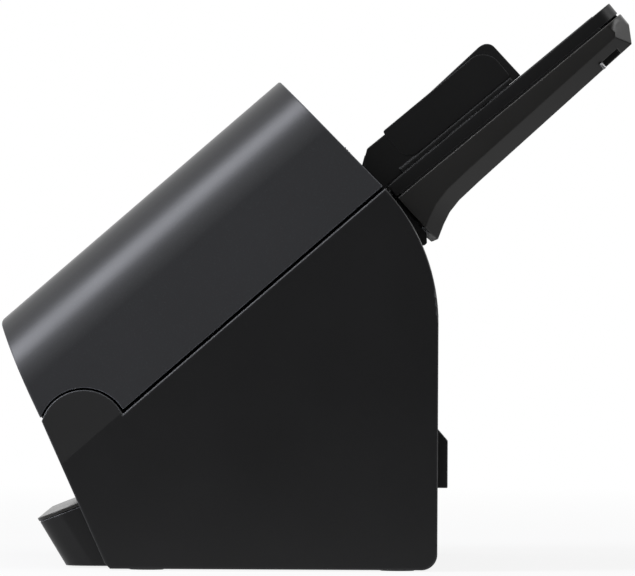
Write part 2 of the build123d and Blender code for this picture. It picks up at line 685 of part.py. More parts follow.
def make_sensor(name, along, side):
    """An image sensor bar and its glass, above the paper for side 1 and below it for -1."""
    glass_face = PAPER_GAP if side > 0 else PARTING
    glass = (glass_face + RUNNING_FIT, glass_face + GUIDE_THICKNESS)
    body = (glass[1] + RUNNING_FIT, glass[1] + RUNNING_FIT + SENSOR_HEIGHT)
    low = along + SENSOR_GLASS_MARGIN
    high = along + SENSOR_LENGTH - SENSOR_GLASS_MARGIN
    with BuildPart(PATH) as bar:
        block((-SENSOR_HALF, SENSOR_HALF), (along, along + SENSOR_LENGTH), sided(side, body))
    with BuildPart(PATH) as pane:
        block((-SENSOR_GLASS_HALF, SENSOR_GLASS_HALF), (low, high), sided(side, glass))
    save(bar.part, name)
    save(pane.part, f"{name}_glass")


def sided(side, span):
    """A span as it stands for side 1, turned over for side -1."""
    return span if side > 0 else (-span[1], -span[0])


def make_separation_holder():
    """The bracket on the cover's guide that holds the separation roller."""
    inner = HOLDER_HALF - HOLDER_WALL
    with BuildPart(PATH) as holder:
        block(
            (-HOLDER_HALF, HOLDER_HALF), (HOLDER_START, HOLDER_END),
            (UPPER_GUIDE_TOP + RUNNING_FIT, HOLDER_TOP),
        )
        block(
            (-inner, inner), (HOLDER_START + HOLDER_WALL / 2, FAR),
            (0, HOLDER_TOP - HOLDER_WALL / 2), Mode.SUBTRACT,
        )
        rod(
            SEPARATION_SHAFT_RADIUS + RUNNING_FIT, (-FAR, FAR), FEED_ALONG, SEPARATION_UP,
            Mode.SUBTRACT,
        )
    save(holder.part, "separation_holder")


def make_separation_roller():
    """The braked roller that holds back all but one sheet."""
    reach = FEED_TYRE_X + FEED_TYRE_WIDTH / 2
    shaft = HOLDER_HALF - RUNNING_FIT
    with BuildPart(PATH) as roller:
        for span in both_sides(FEED_TYRE_X - FEED_TYRE_WIDTH / 2, reach):
            rod(SEPARATION_RADIUS, span, FEED_ALONG, SEPARATION_UP)
        rod(SEPARATION_SHAFT_RADIUS, (-shaft, shaft), FEED_ALONG, SEPARATION_UP)
    save(roller.part, "separation_roller")


def make_pinch_roller(name, along):
    """A free roller in the cover that presses the paper on a driven one."""
    shaft = CHEEK_OUTER - RUNNING_FIT
    with BuildPart(PATH) as roller:
        for x in TYRE_PLACES:
            rod(PINCH_RADIUS, (x - TYRE_WIDTH / 2, x + TYRE_WIDTH / 2), along, PINCH_UP)
        rod(PINCH_SHAFT_RADIUS, (-shaft, shaft), along, PINCH_UP)
    save(roller.part, name)


def make_driven_roller(name, along, up, radius, tyres, width):
    """A driven shaft with its pulley, and the rubber tyres on it."""
    with BuildPart(PATH) as shaft:
        rod(SHAFT_RADIUS, (-PULLEY_X - PULLEY_WIDTH, FRAME_OUTER), along, up)
        pulley_on(along, up)
    with BuildPart(PATH) as rubber:
        for x in tyres:
            rod(radius, (x - width / 2, x + width / 2), along, up)
        rod(SHAFT_RADIUS, (-FAR, FAR), along, up, Mode.SUBTRACT)
    save(shaft.part, f"{name}_shaft")
    save(rubber.part, f"{name}_tyres")


def pulley_on(along, up):
    """A flanged belt pulley outside the left frame."""
    low = -PULLEY_X - PULLEY_WIDTH
    rod(PULLEY_RADIUS, (low, -PULLEY_X), along, up)
    rod(PULLEY_FLANGE_RADIUS, (low, low + PULLEY_FLANGE), along, up)
    rod(PULLEY_FLANGE_RADIUS, (-PULLEY_X - PULLEY_FLANGE, -PULLEY_X), along, up)


def motor_place():
    """The motor's axis in the path frame."""
    place = PATH_SIDE.to_local_coords(Vector(0, MOTOR_Y, MOTOR_Z))
    return place.X, place.Y


def make_motor():
    """The drive motor on the left frame, and its shaft with the belt pulley."""
    along, up = motor_place()
    with BuildPart(PATH) as motor:
        rod(MOTOR_RADIUS, (-FRAME_X, -FRAME_X + MOTOR_LENGTH), along, up)
        rod(MOTOR_PILOT, (-FRAME_OUTER, -FRAME_X), along, up)
        rod(MOTOR_SHAFT_RADIUS + RUNNING_FIT, (-FAR, -FRAME_X + MOTOR_LENGTH / 2), along, up, Mode.SUBTRACT)
    with BuildPart(PATH) as rotor:
        rod(MOTOR_SHAFT_RADIUS, (-PULLEY_X, -FRAME_X + MOTOR_LENGTH / 2 - SLIDING_GAP), along, up)
        pulley_on(along, up)
    save(motor.part, "motor")
    save(rotor.part, "motor_pulley")


def make_belt():
    """The flat belt round the four pulleys, running just clear of them."""
    places = [(along, up) for along, up in LOWER_SHAFTS] + [motor_place()]
    centre = PULLEY_X + PULLEY_WIDTH / 2
    with BuildSketch(PATH_SIDE.offset(-centre - BELT_WIDTH / 2)) as inner:
        with Locations(*places):
            Circle(PULLEY_RADIUS + BELT_GAP)
        make_hull()
    with BuildSketch(PATH_SIDE.offset(-centre - BELT_WIDTH / 2)) as outer:
        with Locations(*places):
            Circle(PULLEY_RADIUS + BELT_GAP + BELT_THICKNESS)
        make_hull()
    with BuildPart() as belt:
        extrude(outer.sketch, amount=BELT_WIDTH)
        extrude(inner.sketch, amount=BELT_WIDTH, mode=Mode.SUBTRACT)
    save(belt.part, "drive_belt")


def make_latch():
    """The cover's latch: a cross shaft, a hook at each end and the release lever."""
    hub = (LEVER_X - LEVER_WIDTH / 2, LEVER_X + LEVER_WIDTH / 2)
    tip = COVER_LENGTH - COVER_TOP_LEAN * LEVER_UP / COVER_DEPTH + LEVER_PROUD
    reach = LEVER_HUB_RADIUS * cos(radians(45))
    with BuildPart(PATH) as shaft:
        rod(LATCH_SHAFT_RADIUS, (-HOOK_X - HOOK_THICKNESS, HOOK_X + HOOK_THICKNESS), LATCH_ALONG, LATCH_UP)
    half = HOOK_WIDTH / 2
    with BuildPart(PATH) as hooks:
        for span in both_sides(HOOK_X, HOOK_X + HOOK_THICKNESS):
            rod(HOOK_WIDTH * 3 / 4, span, LATCH_ALONG, LATCH_UP)
            block(span, (LATCH_ALONG - half, LATCH_ALONG + half), (-HOOK_REACH, LATCH_UP))
            block(span, (HOOK_FRONT, LATCH_ALONG), (-HOOK_REACH, -HOOK_REACH + HOOK_BARB_DEPTH))
        rod(LATCH_SHAFT_RADIUS, (-FAR, FAR), LATCH_ALONG, LATCH_UP, Mode.SUBTRACT)
    with BuildSketch(PATH_SIDE.offset(hub[0])) as arm:
        Polygon(
            (LATCH_ALONG, LATCH_UP), (LATCH_ALONG + reach, LATCH_UP + reach),
            (tip, LEVER_UP - LEVER_THICKNESS / 2), (tip, LEVER_UP + LEVER_THICKNESS / 2),
            (LATCH_ALONG, LATCH_UP + LEVER_HUB_RADIUS), align=None,
        )
    with BuildPart(PATH) as lever:
        extrude(arm.sketch, amount=LEVER_WIDTH)
        rod(LEVER_HUB_RADIUS, hub, LATCH_ALONG, LATCH_UP)
        rod(LATCH_SHAFT_RADIUS, (-FAR, FAR), LATCH_ALONG, LATCH_UP, Mode.SUBTRACT)
    save(shaft.part, "latch_shaft")
    save(hooks.part, "latch_hooks")
    save(lever.part, "release_lever")


def make_operation_panel():
    """The panel let into the cover's front, its buttons, window and switch board."""
    face = panel_face(2 * RUNNING_FIT)
    with BuildPart(PATH) as panel:
        extrude(face, amount=-PANEL_THICKNESS)
        panel_openings(SLIDING_GAP)
    save(panel.part, "operation_panel")
    for name, x, radius in BUTTONS:
        with BuildPart(PATH) as button:
            with Locations((x, BUTTON_ALONG, COVER_DEPTH)):
                Cylinder(radius, BUTTON_CAP, align=(Align.CENTER, Align.CENTER, Align.MAX))
            with Locations((x, BUTTON_ALONG, COVER_DEPTH - BUTTON_CAP)):
                Cylinder(BUTTON_STEM_RADIUS, BUTTON_STEM, align=(Align.CENTER, Align.CENTER, Align.MAX))
        save(button.part, name)
    with BuildPart(PATH) as window:
        with Locations((WINDOW_X, WINDOW_ALONG, COVER_DEPTH)):
            Box(*WINDOW_SIZE, WINDOW_DEPTH, align=(Align.CENTER, Align.CENTER, Align.MAX))
    save(window.part, "status_window")
    with BuildPart(PATH) as board:
        block(PANEL_BOARD_X, PANEL_BOARD_ALONG, (PANEL_BOARD_TOP - PANEL_BOARD_THICKNESS, PANEL_BOARD_TOP))
        for _, x, _ in BUTTONS:
            with Locations((x, BUTTON_ALONG, PANEL_BOARD_TOP)):
                Box(
                    SWITCH_SIDE, SWITCH_SIDE, SWITCH_HEIGHT,
                    align=(Align.CENTER, Align.CENTER, Align.MIN),
                )
    save(board.part, "panel_board")


def make_base_covers():
    """The base's two side housings, closed outside and open towards the frames."""
    outer = base_outline(HOUSING_X, 0)
    hollow = base_outline(HOUSING_X, WALL)
    section_plane = Plane(
        origin=PATH_ORIGIN + PATH_DIRECTION * FAR, x_dir=(1, 0, 0), z_dir=PATH_DIRECTION * -1
    )
    with BuildSketch(section_plane) as lean:
        Polygon(
            (HALF_WIDTH, 0), (HALF_WIDTH + WALL, 0), (HALF_WIDTH + WALL, COVER_DEPTH),
            (HALF_WIDTH - COVER_DEPTH * tan(radians(SIDE_TAPER)), COVER_DEPTH), align=None,
        )
    with BuildPart() as cover:
        extrude(outer, amount=HALF_WIDTH - HOUSING_X)
        fillet(cover.faces().sort_by(Axis.X)[-1].edges(), radius=EDGE_ROUND)
        extrude(hollow, amount=HALF_WIDTH - WALL - HOUSING_X, mode=Mode.SUBTRACT)
        extrude(lean.sketch, amount=2 * FAR, mode=Mode.SUBTRACT)
        for y in (FOOT_FRONT_Y, FOOT_BACK_Y):
            with Locations((FOOT_X, y, 0)):
                Cylinder(FOOT_RADIUS + 2 * RUNNING_FIT, 2 * (FLOOR_CLEARANCE + WALL), mode=Mode.SUBTRACT)
        with Locations(PATH):
            block(HOOK_SLOT_ACROSS, HOOK_SLOT, (-2 * WALL, WALL), Mode.SUBTRACT)
    save(cover.part, "base_right_cover")
    save(mirrored(cover.part), "base_left_cover")


def make_frames():
    """The steel side frames that carry the shafts, the hinge pins and the motor."""
    sheet = base_outline(FRAME_X, FRAME_INSET)
    along, up = motor_place()
    with BuildPart() as right:
        extrude(sheet, amount=FRAME_THICKNESS)
        with Locations(PATH):
            for place in LOWER_SHAFTS:
                rod(BUSH_RADIUS, (FRAME_X - WALL, FRAME_OUTER + WALL), *place, Mode.SUBTRACT)
            rod(HINGE_PIN_RADIUS, (FRAME_X - WALL, FRAME_OUTER + WALL), 0, HINGE_RISE, Mode.SUBTRACT)
    with BuildPart() as left:
        mirror(right.part, about=Plane.YZ)
        with Locations(PATH):
            rod(MOTOR_PILOT, (-FRAME_OUTER - WALL, -FRAME_X + WALL), along, up, Mode.SUBTRACT)
    save(right.part, "right_frame")
    save(left.part, "left_frame")


def make_frame_fittings():
    """The shaft bushes, hinge pins, latch keepers and tie bars between the frames."""
    bore = SHAFT_RADIUS + RUNNING_FIT
    with BuildPart(PATH) as bushes:
        for place in LOWER_SHAFTS:
            for side in (1, -1):
                rod(BUSH_RADIUS, sided(side, (FRAME_X, FRAME_OUTER)), *place)
                rod(BUSH_FLANGE_RADIUS, sided(side, (FRAME_OUTER, FRAME_OUTER + BUSH_FLANGE)), *place)
            rod(bore, (-FAR, FAR), *place, Mode.SUBTRACT)
    with BuildPart(PATH) as pins:
        for side in (1, -1):
            rod(HINGE_PIN_RADIUS, sided(side, (CHEEK_X + SLIDING_GAP, FRAME_OUTER)), 0, HINGE_RISE)
            rod(
                HINGE_HEAD_RADIUS, sided(side, (FRAME_OUTER, FRAME_OUTER + BUSH_FLANGE)),
                0, HINGE_RISE,
            )
    with BuildPart(PATH) as keepers:
        for side in (1, -1):
            rod(
                KEEPER_RADIUS, sided(side, (FRAME_OUTER, FRAME_OUTER + KEEPER_LENGTH)),
                KEEPER_ALONG, -KEEPER_DROP,
            )
    with BuildPart() as bars:
        for y, z in TIE_BARS:
            rod(TIE_BAR_RADIUS, (-FRAME_X, FRAME_X), y, z)
    save(bushes.part, "shaft_bushes")
    save(pins.part, "hinge_pins")
    save(keepers.part, "latch_keepers")
    save(bars.part, "tie_bars")


def make_lower_guide():
    """The base's paper guide, narrower where the cover's hinge ears turn."""
    sheet = (GUIDE_UNDER, GUIDE_TOP)
    cut = (GUIDE_UNDER - RUNNING_FIT, 0)
    with BuildPart(PATH) as guide:
        block((-GUIDE_HALF, GUIDE_HALF), (EXIT_GUIDE_END, GUIDE_BACK), sheet)
        block((-EXIT_GUIDE_HALF, EXIT_GUIDE_HALF), (GUIDE_FRONT, EXIT_GUIDE_END), sheet)
        for span in both_sides(GUIDE_HALF - GUIDE_THICKNESS, GUIDE_HALF):
            for along in GUIDE_FLANGE_ALONG:
                block(span, along, (GUIDE_UNDER - GUIDE_FLANGE, GUIDE_UNDER))
        for along in (DRIVE_ALONG, EJECT_ALONG):
            for x in TYRE_PLACES:
                tyre_slot(x, TYRE_WIDTH, along, DRIVE_RADIUS, cut)
        for x in (-FEED_TYRE_X, FEED_TYRE_X):
            tyre_slot(x, FEED_TYRE_WIDTH, FEED_ALONG, FEED_RADIUS, cut)
        block(
            (-SENSOR_GLASS_HALF - SLIDING_GAP, SENSOR_GLASS_HALF + SLIDING_GAP),
            sensor_window(LOWER_SENSOR_ALONG), cut, Mode.SUBTRACT,
        )
    save(guide.part, "lower_paper_guide")


def make_base_plates():
    """The bottom plate, the chassis plate with its board posts, and the exit chute."""
    width = HOUSING_X - 2 * RUNNING_FIT
    inside = FRAME_X - 2 * RUNNING_FIT
    back = BACK_Y - WALL - 2 * RUNNING_FIT
    with BuildPart() as bottom:
        block(
            (-width, width), (BOTTOM_PLATE_FRONT, REAR_COVER_FRONT_Y - RUNNING_FIT),
            (FLOOR_CLEARANCE, FLOOR_CLEARANCE + BOTTOM_PLATE),
        )
    with BuildPart() as chassis:
        block((-inside, inside), (CHASSIS_FRONT, back), (CHASSIS_Z, CHASSIS_TOP))
        for x, y in board_posts():
            with Locations((x, y, CHASSIS_TOP)):
                Cylinder(
                    STANDOFF_RADIUS, BOARD_STANDOFF, align=(Align.CENTER, Align.CENTER, Align.MIN)
                )
    with BuildSketch(Plane.YZ) as section:
        Polygon(
            (CHUTE_TOP_Y, CHUTE_TOP_Z), (CHUTE_TOP_Y + CHUTE_THICKNESS, CHUTE_TOP_Z),
            (CHUTE_FOOT_Y + CHUTE_THICKNESS, CHASSIS_TOP), (CHUTE_FOOT_Y, CHASSIS_TOP), align=None,
        )
    with BuildPart() as chute:
        extrude(section.sketch, amount=inside, both=True)
    save(bottom.part, "base_bottom_plate")
    save(chassis.part, "base_chassis")
    save(chute.part, "exit_chute")


def board_posts():
    """Where the chassis posts hold the main board."""
    back = BACK_Y - WALL - STANDOFF_MARGIN
    return [
        (x, y)
        for x in (BOARD_X[0] + STANDOFF_MARGIN, BOARD_X[1] - STANDOFF_MARGIN)
        for y in (BOARD_FRONT_Y + STANDOFF_MARGIN, back - STANDOFF_MARGIN)
    ]


def connector_window():
    """The span across and the heights of the opening round the two sockets."""
    across = (
        DC_X - DC_SIZE[0] / 2 - SURROUND_WINDOW_MARGIN, USB_X + USB_SIZE[0] / 2 + SURROUND_WINDOW_MARGIN
    )
    heights = (SOCKET_Z - RUNNING_FIT, SOCKET_Z + USB_SIZE[2] + SURROUND_WINDOW_MARGIN)
    return across, heights


def make_rear_cover():
    """The base's back, curving forward to the feed mouth, its connector surround and screws."""
    half = HOUSING_X - 2 * RUNNING_FIT
    outer = base_outline(-half, 0)
    inner = base_outline(-half, WALL)
    across, heights = connector_window()
    through = (BACK_Y - 2 * WALL, BACK_Y + 2 * SURROUND_PROUD)
    screws = [(side * SCREW_X, BACK_Y, z) for side in (1, -1) for z in SCREW_HEIGHTS]
    with BuildPart() as rear:
        extrude(outer, amount=2 * half)
        extrude(inner, amount=2 * half, mode=Mode.SUBTRACT)
        block((-FAR, FAR), (REAR_COVER_FRONT_Y, FAR), (0, REAR_COVER_TOP_Z), Mode.INTERSECT)
        for x, y, z in screws:
            with Locations((x, y - WALL - SCREW_BOSS / 2, z)):
                Cylinder(SCREW_BOSS_RADIUS, SCREW_BOSS, rotation=(90, 0, 0))
        for x, y, z in screws:
            screw_shape(x, y, z, Mode.SUBTRACT)
        block(across, through, heights, Mode.SUBTRACT)
    with BuildPart() as heads:
        for x, y, z in screws:
            screw_shape(x, y, z, Mode.ADD)
    with BuildSketch(Plane.YZ.offset(SURROUND_X[0])) as section:
        Polygon(
            (BACK_Y, SURROUND_Z[0]), (BACK_Y + SURROUND_PROUD, SURROUND_Z[0]),
            (BACK_Y + SURROUND_PROUD, SURROUND_Z[1]), (BACK_Y, SURROUND_Z[1] + SURROUND_BEVEL), align=None,
        )
    with BuildPart() as surround:
        extrude(section.sketch, amount=SURROUND_X[1] - SURROUND_X[0])
        block(across, through, heights, Mode.SUBTRACT)
    save(rear.part, "base_rear_cover")
    save(heads.part, "rear_screws")
    save(surround.part, "connector_surround")


def screw_shape(x, y, z, mode):
    """A screw let into the back: its head and its shank, or the hole for them."""
    with Locations((x, y - SCREW_HEAD / 2, z)):
        Cylinder(SCREW_HEAD_RADIUS, SCREW_HEAD, rotation=(90, 0, 0), mode=mode)
    with Locations((x, y - SCREW_LENGTH / 2, z)):
        Cylinder(SCREW_RADIUS, SCREW_LENGTH, rotation=(90, 0, 0), mode=mode)


def make_main_board():
    """The main circuit board on its posts, with its chips and the two sockets."""
    back = BACK_Y - WALL - STANDOFF_MARGIN / 10
    cavity_y = SOCKET_FACE_Y - SOCKET_DEPTH / 2
    contact_y = cavity_y - SOCKET_MOUTH / 2
    with BuildPart() as board:
        block(BOARD_X, (BOARD_FRONT_Y, back), (BOARD_Z, SOCKET_Z))
        for x, y in CHIP_PLACES:
            with Locations((x, y, SOCKET_Z)):
                Box(CHIP_SIDE, CHIP_SIDE, CHIP_HEIGHT, align=(Align.CENTER, Align.CENTER, Align.MIN))
    with BuildPart() as inlet:
        socket_body(DC_X, DC_SIZE)
        with Locations((DC_X, cavity_y, SOCKET_Z + DC_SIZE[2] / 2)):
            Cylinder(DC_BORE, SOCKET_DEPTH, rotation=(90, 0, 0), mode=Mode.SUBTRACT)
        with Locations((DC_X, contact_y, SOCKET_Z + DC_SIZE[2] / 2)):
            Cylinder(DC_PIN, SOCKET_DEPTH - SOCKET_MOUTH, rotation=(90, 0, 0))
    with BuildPart() as usb:
        socket_body(USB_X, USB_SIZE)
        with Locations((USB_X, cavity_y, SOCKET_Z + USB_SIZE[2] / 2)):
            Box(USB_OPENING[0], SOCKET_DEPTH, USB_OPENING[1], mode=Mode.SUBTRACT)
        with Locations((USB_X, contact_y, SOCKET_Z + USB_SIZE[2] / 2)):
            Box(USB_TONGUE[0], SOCKET_DEPTH - SOCKET_MOUTH, USB_TONGUE[1])
    save(board.part, "main_board")
    save(inlet.part, "dc_inlet")
    save(usb.part, "usb_socket")


def socket_body(x, size):
    """A socket's block on the main board, its face in the back's surround."""
    with Locations((x, SOCKET_FACE_Y, SOCKET_Z)):
        Box(*size, align=(Align.CENTER, Align.MAX, Align.MIN))


def make_feet():
    """Four rubber feet plugged into the side housings."""
    with BuildPart() as feet:
        for x in (-FOOT_X, FOOT_X):
            for y in (FOOT_FRONT_Y, FOOT_BACK_Y):
                with Locations((x, y, 0)):
                    Cylinder(FOOT_RADIUS, FOOT_HEIGHT, align=(Align.CENTER, Align.CENTER, Align.MIN))
                with Locations((x, y, FOOT_HEIGHT)):
                    Cylinder(FOOT_RIM_RADIUS, FOOT_RIM, align=(Align.CENTER, Align.CENTER, Align.MIN))
    save(feet.part, "rubber_feet")


def pan_profile(inset, lift):
    """The eject tray's side view, its walls drawn in by inset and its top raised by lift."""
    face_run = (PAN_TOP_Z - RAMP_RISE - BLOCK_BOTTOM_Z) / tan(radians(BLOCK_FACE_SLOPE))
    top_y = LIP_Y + LIP_OVERHANG + inset / sin(radians(BLOCK_FACE_SLOPE))
    front_z = PAN_TOP_Z - (RAMP_END_Y - LIP_Y - LIP_OVERHANG) * tan(radians(RAMP_SLOPE))
    low = BLOCK_BOTTOM_Z + inset
    step = PAN_BOTTOM_Z - BLOCK_BOTTOM_Z
    with BuildSketch(Plane.YZ) as profile:
        Polygon(
            (top_y + face_run - (low - BLOCK_BOTTOM_Z) / tan(radians(BLOCK_FACE_SLOPE)), low),
            (BLOCK_BACK_Y, low), (BLOCK_BACK_Y + step, low + step), (PAN_BACK_Y - inset, low + step),
            (PAN_BACK_Y - inset, PAN_TOP_Z + lift), (RAMP_END_Y, PAN_TOP_Z + lift),
            (top_y - lift / tan(radians(BLOCK_FACE_SLOPE)), front_z + lift), align=None,
        )
    return profile.sketch


def make_eject_tray():
    """The pull-out eject tray: its pan, the ramped top plate and the slide inside it."""
    outer = pan_profile(0, 0)
    hollow = pan_profile(PAN_WALL, 2 * PAN_WALL)
    face = (LIP_Y + LIP_OVERHANG, PAN_TOP_Z - RAMP_RISE)
    corner = front_rounding(*face, 180 - BLOCK_FACE_SLOPE, TRAY_HALF, BLOCK_ROUND, 0)
    inner_corner = front_rounding(
        *face, 180 - BLOCK_FACE_SLOPE, TRAY_HALF - PAN_WALL, BLOCK_ROUND - PAN_WALL, -PAN_WALL
    )
    slot_half = SLIDE_HALF + SLIDE_SLOT_GAP
    rail_top = SLIDE_Z - SLIDING_GAP
    with BuildPart() as inside:
        extrude(hollow, amount=TRAY_HALF - PAN_WALL, both=True)
        add(inner_corner, mode=Mode.INTERSECT)
    with BuildPart() as pan:
        extrude(outer, amount=TRAY_HALF, both=True)
        add(corner, mode=Mode.INTERSECT)
        add(inside.part, mode=Mode.SUBTRACT)
        for span in both_sides(*RAIL_X):
            block(span, (RAIL_FRONT_Y, BLOCK_BACK_Y), (BLOCK_BOTTOM_Z + PAN_WALL / 2, rail_top))
            block(span, (BLOCK_BACK_Y, SLIDE_BACK_Y), (PAN_BOTTOM_Z + PAN_WALL / 2, rail_top))
        block(
            (-slot_half, slot_half), (LIP_Y, RAIL_FRONT_Y),
            (SLIDE_Z - SLIDE_SLOT_GAP, SLIDE_Z + SLIDE_THICKNESS + SLIDE_SLOT_GAP), Mode.SUBTRACT,
        )
    with BuildSketch(Plane.YZ) as section:
        Polygon(
            (LIP_Y, LIP_Z), (RAMP_END_Y, TRAY_TOP_Z), (PAN_BACK_Y, TRAY_TOP_Z),
            (PAN_BACK_Y, TRAY_TOP_Z - LIP_THICKNESS), (RAMP_END_Y, TRAY_TOP_Z - LIP_THICKNESS),
            (LIP_Y + LIP_THICKNESS / 2, LIP_Z - LIP_THICKNESS), align=None,
        )
    lip_corner = front_rounding(LIP_Y, LIP_Z, 180 - BLOCK_FACE_SLOPE, TRAY_HALF, BLOCK_ROUND, 0)
    with BuildPart() as top:
        extrude(section.sketch, amount=TRAY_HALF, both=True)
        add(lip_corner, mode=Mode.INTERSECT)
    with BuildPart() as slide:
        block(
            (-SLIDE_HALF, SLIDE_HALF), (SLIDE_FRONT_Y, SLIDE_BACK_Y), (SLIDE_Z, SLIDE_Z + SLIDE_THICKNESS)
        )
    save(pan.part, "eject_tray_pan")
    save(top.part, "eject_tray_top")
    save(slide.part, "eject_tray_slide")


def tray_plan(half, start, end):
    """A feed tray layer in plan, with its two upper corners rounded."""
    with BuildSketch(TRAY) as plan:
        with Locations((0, (start + end) / 2)):
            Rectangle(2 * half, end - start)
        fillet(plan.vertices().group_by(Axis.Y)[-1], radius=PLAN_CORNER)
    return plan.sketch


def stem_span(side):
    """The place along the tray of a guide's stem, beyond its rack's teeth."""
    root = PITCH_RADIUS + GEAR_MODULE
    low = root + (RACK_WIDTH - STEM_WIDTH) / 2
    near, far = sided(side, (low, low + STEM_WIDTH))
    return (PINION_ALONG + near, PINION_ALONG + far)


def make_feed_plate():
    """The feed tray's paper surface, with slots for the guides and the document flag."""
    plan = tray_plan(FEED_HALF, 0, PLATE_LENGTH)
    inner = FEED_HALF - PLATE_RIM_WIDTH
    stem_low = PAPER_HALF - GUIDE_TRAVEL - SLIDING_GAP
    stem_high = PAPER_HALF + STEM_WIDTH + SLIDING_GAP
    bearing = FLAG_WIDTH / 2 + FLAG_BEARING_GAP
    with BuildPart(TRAY) as plate:
        extrude(plan, amount=-PLATE_RIM)
        block(
            (-inner, inner), (PLATE_RIM_WIDTH, PLATE_LENGTH - PLAN_CORNER),
            (-PLATE_RIM, -PLATE_SKIN), Mode.SUBTRACT,
        )
        for side in (1, -1):
            low, high = stem_span(side)
            block(
                sided(side, (stem_low, stem_high)), (low - SLIDING_GAP, high + SLIDING_GAP),
                (-PLATE_RIM, 1), Mode.SUBTRACT,
            )
        with Locations((0, PINION_ALONG, -PLATE_SKIN)):
            Cylinder(
                PINION_PIN_RADIUS, PINION_PIN_DEPTH - PLATE_SKIN,
                align=(Align.CENTER, Align.CENTER, Align.MAX),
            )
        block((FLAG_X - bearing, FLAG_X + bearing), FLAG_SLOT, (-PLATE_RIM, 1), Mode.SUBTRACT)
        for low in (FLAG_X - FLAG_AXLE_HALF, FLAG_X + bearing):
            block(
                (low, low + FLAG_AXLE_HALF - bearing),
                (FLAG_ALONG - 2 * FLAG_AXLE_RADIUS, FLAG_ALONG + 2 * FLAG_AXLE_RADIUS),
                (STAGE_TOP + SLIDING_GAP, -PLATE_SKIN),
            )
        rod(
            FLAG_AXLE_RADIUS + RUNNING_FIT, (FLAG_X - FLAG_AXLE_HALF, FLAG_X + FLAG_AXLE_HALF),
            FLAG_ALONG, -FLAG_AXLE_DEPTH, Mode.SUBTRACT,
        )
    save(plate.part, "feed_tray_plate")


def make_feed_shell():
    """The feed tray's back shell: hollow for its extension, bevelled below, with finger grips."""
    with BuildSketch(TRAY_SIDE) as profile:
        Polygon(
            SHELL_KNEE, SHELL_BACK, SHELL_HEEL, (SHELL_END, SHELL_END_UP), (SHELL_END, SHELL_TOP),
            (0, SHELL_TOP), SHELL_TOE, SHELL_TIP, *SHELL_CURVE, align=None,
        )
    plan = tray_plan(FEED_HALF, -PLATE_LENGTH, SHELL_END)
    with BuildPart(TRAY) as shell:
        extrude(profile.sketch, amount=FEED_HALF, both=True)
        chamfer(underside_edges(shell), length=SHELL_CHAMFER)
        extrude(plan, amount=-FAR, mode=Mode.INTERSECT)
        block((-CAVITY_HALF, CAVITY_HALF), (CAVITY_START, FAR), (-CAVITY_DEPTH, 0), Mode.SUBTRACT)
        for span in both_sides(*POCKET_X):
            block(span, POCKET_ALONG, (-POCKET_DEPTH, 0), Mode.SUBTRACT)
        for span in both_sides(*GRIP_X):
            block(span, GRIP_ALONG, (-FAR, GRIP_TOP), Mode.SUBTRACT)
    save(shell.part, "feed_tray_shell")


def underside_edges(shell):
    """The edges between the tray shell's sides and its underside."""
    by_side = shell.faces().sort_by(Axis.X)
    edges = by_side[0].edges() + by_side[-1].edges()
    return [
        edge for edge in edges
        if TRAY.to_local_coords(edge.center()).Z < SHELL_END_UP
        and TRAY.to_local_coords(edge.center()).Y > SHELL_TIP[0]
    ]


def make_brackets():
    """The two arms at the back of the base that hold the feed tray's lower end."""
    centre = (BACK_Y - BACK_CURVE_RADIUS, BACK_CURVE_Z)
    with BuildSketch(Plane.YZ.offset(BRACKET_X)) as section:
        Polygon(
            BRACKET_TOP, BRACKET_BACK, BRACKET_TIP, BRACKET_TOE,
            (BRACKET_TOE[0] - SHELL_CHAMFER, BRACKET_TOE[1]), align=None,
        )
        with Locations(centre):
            Circle(BACK_CURVE_RADIUS + RUNNING_FIT, mode=Mode.SUBTRACT)
    with BuildPart() as arms:
        extrude(section.sketch, amount=BRACKET_WIDTH)
        mirror(about=Plane.YZ)
    save(arms.part, "tray_brackets")


def make_stages():
    """The two flat stages that pull out of the feed tray's upper end."""
    inner_top = STAGE_TOP - STAGE_THICKNESS - SLIDING_GAP
    lip = (STAGE_END - STAGE_LIP, STAGE_END)
    with BuildPart(TRAY) as lower:
        block(
            (-STAGE_HALF[0], STAGE_HALF[0]), (STAGE_START, STAGE_END),
            (STAGE_TOP - STAGE_THICKNESS, STAGE_TOP),
        )
        for span in both_sides(STAGE_HALF[1] + STAGE_LIP_GAP, STAGE_HALF[0]):
            block(span, lip, (STAGE_TOP - STAGE_THICKNESS - STAGE_LIP_DROP, STAGE_TOP))
    with BuildPart(TRAY) as upper:
        block(
            (-STAGE_HALF[1], STAGE_HALF[1]), (STAGE_START, STAGE_END),
            (inner_top - STAGE_THICKNESS, inner_top),
        )
        block(
            (-STAGE_HALF[1], STAGE_HALF[1]), lip,
            (inner_top - STAGE_THICKNESS - STAGE_LIP_DROP, inner_top),
        )
    save(lower.part, "extension_lower_stage")
    save(upper.part, "extension_upper_stage")


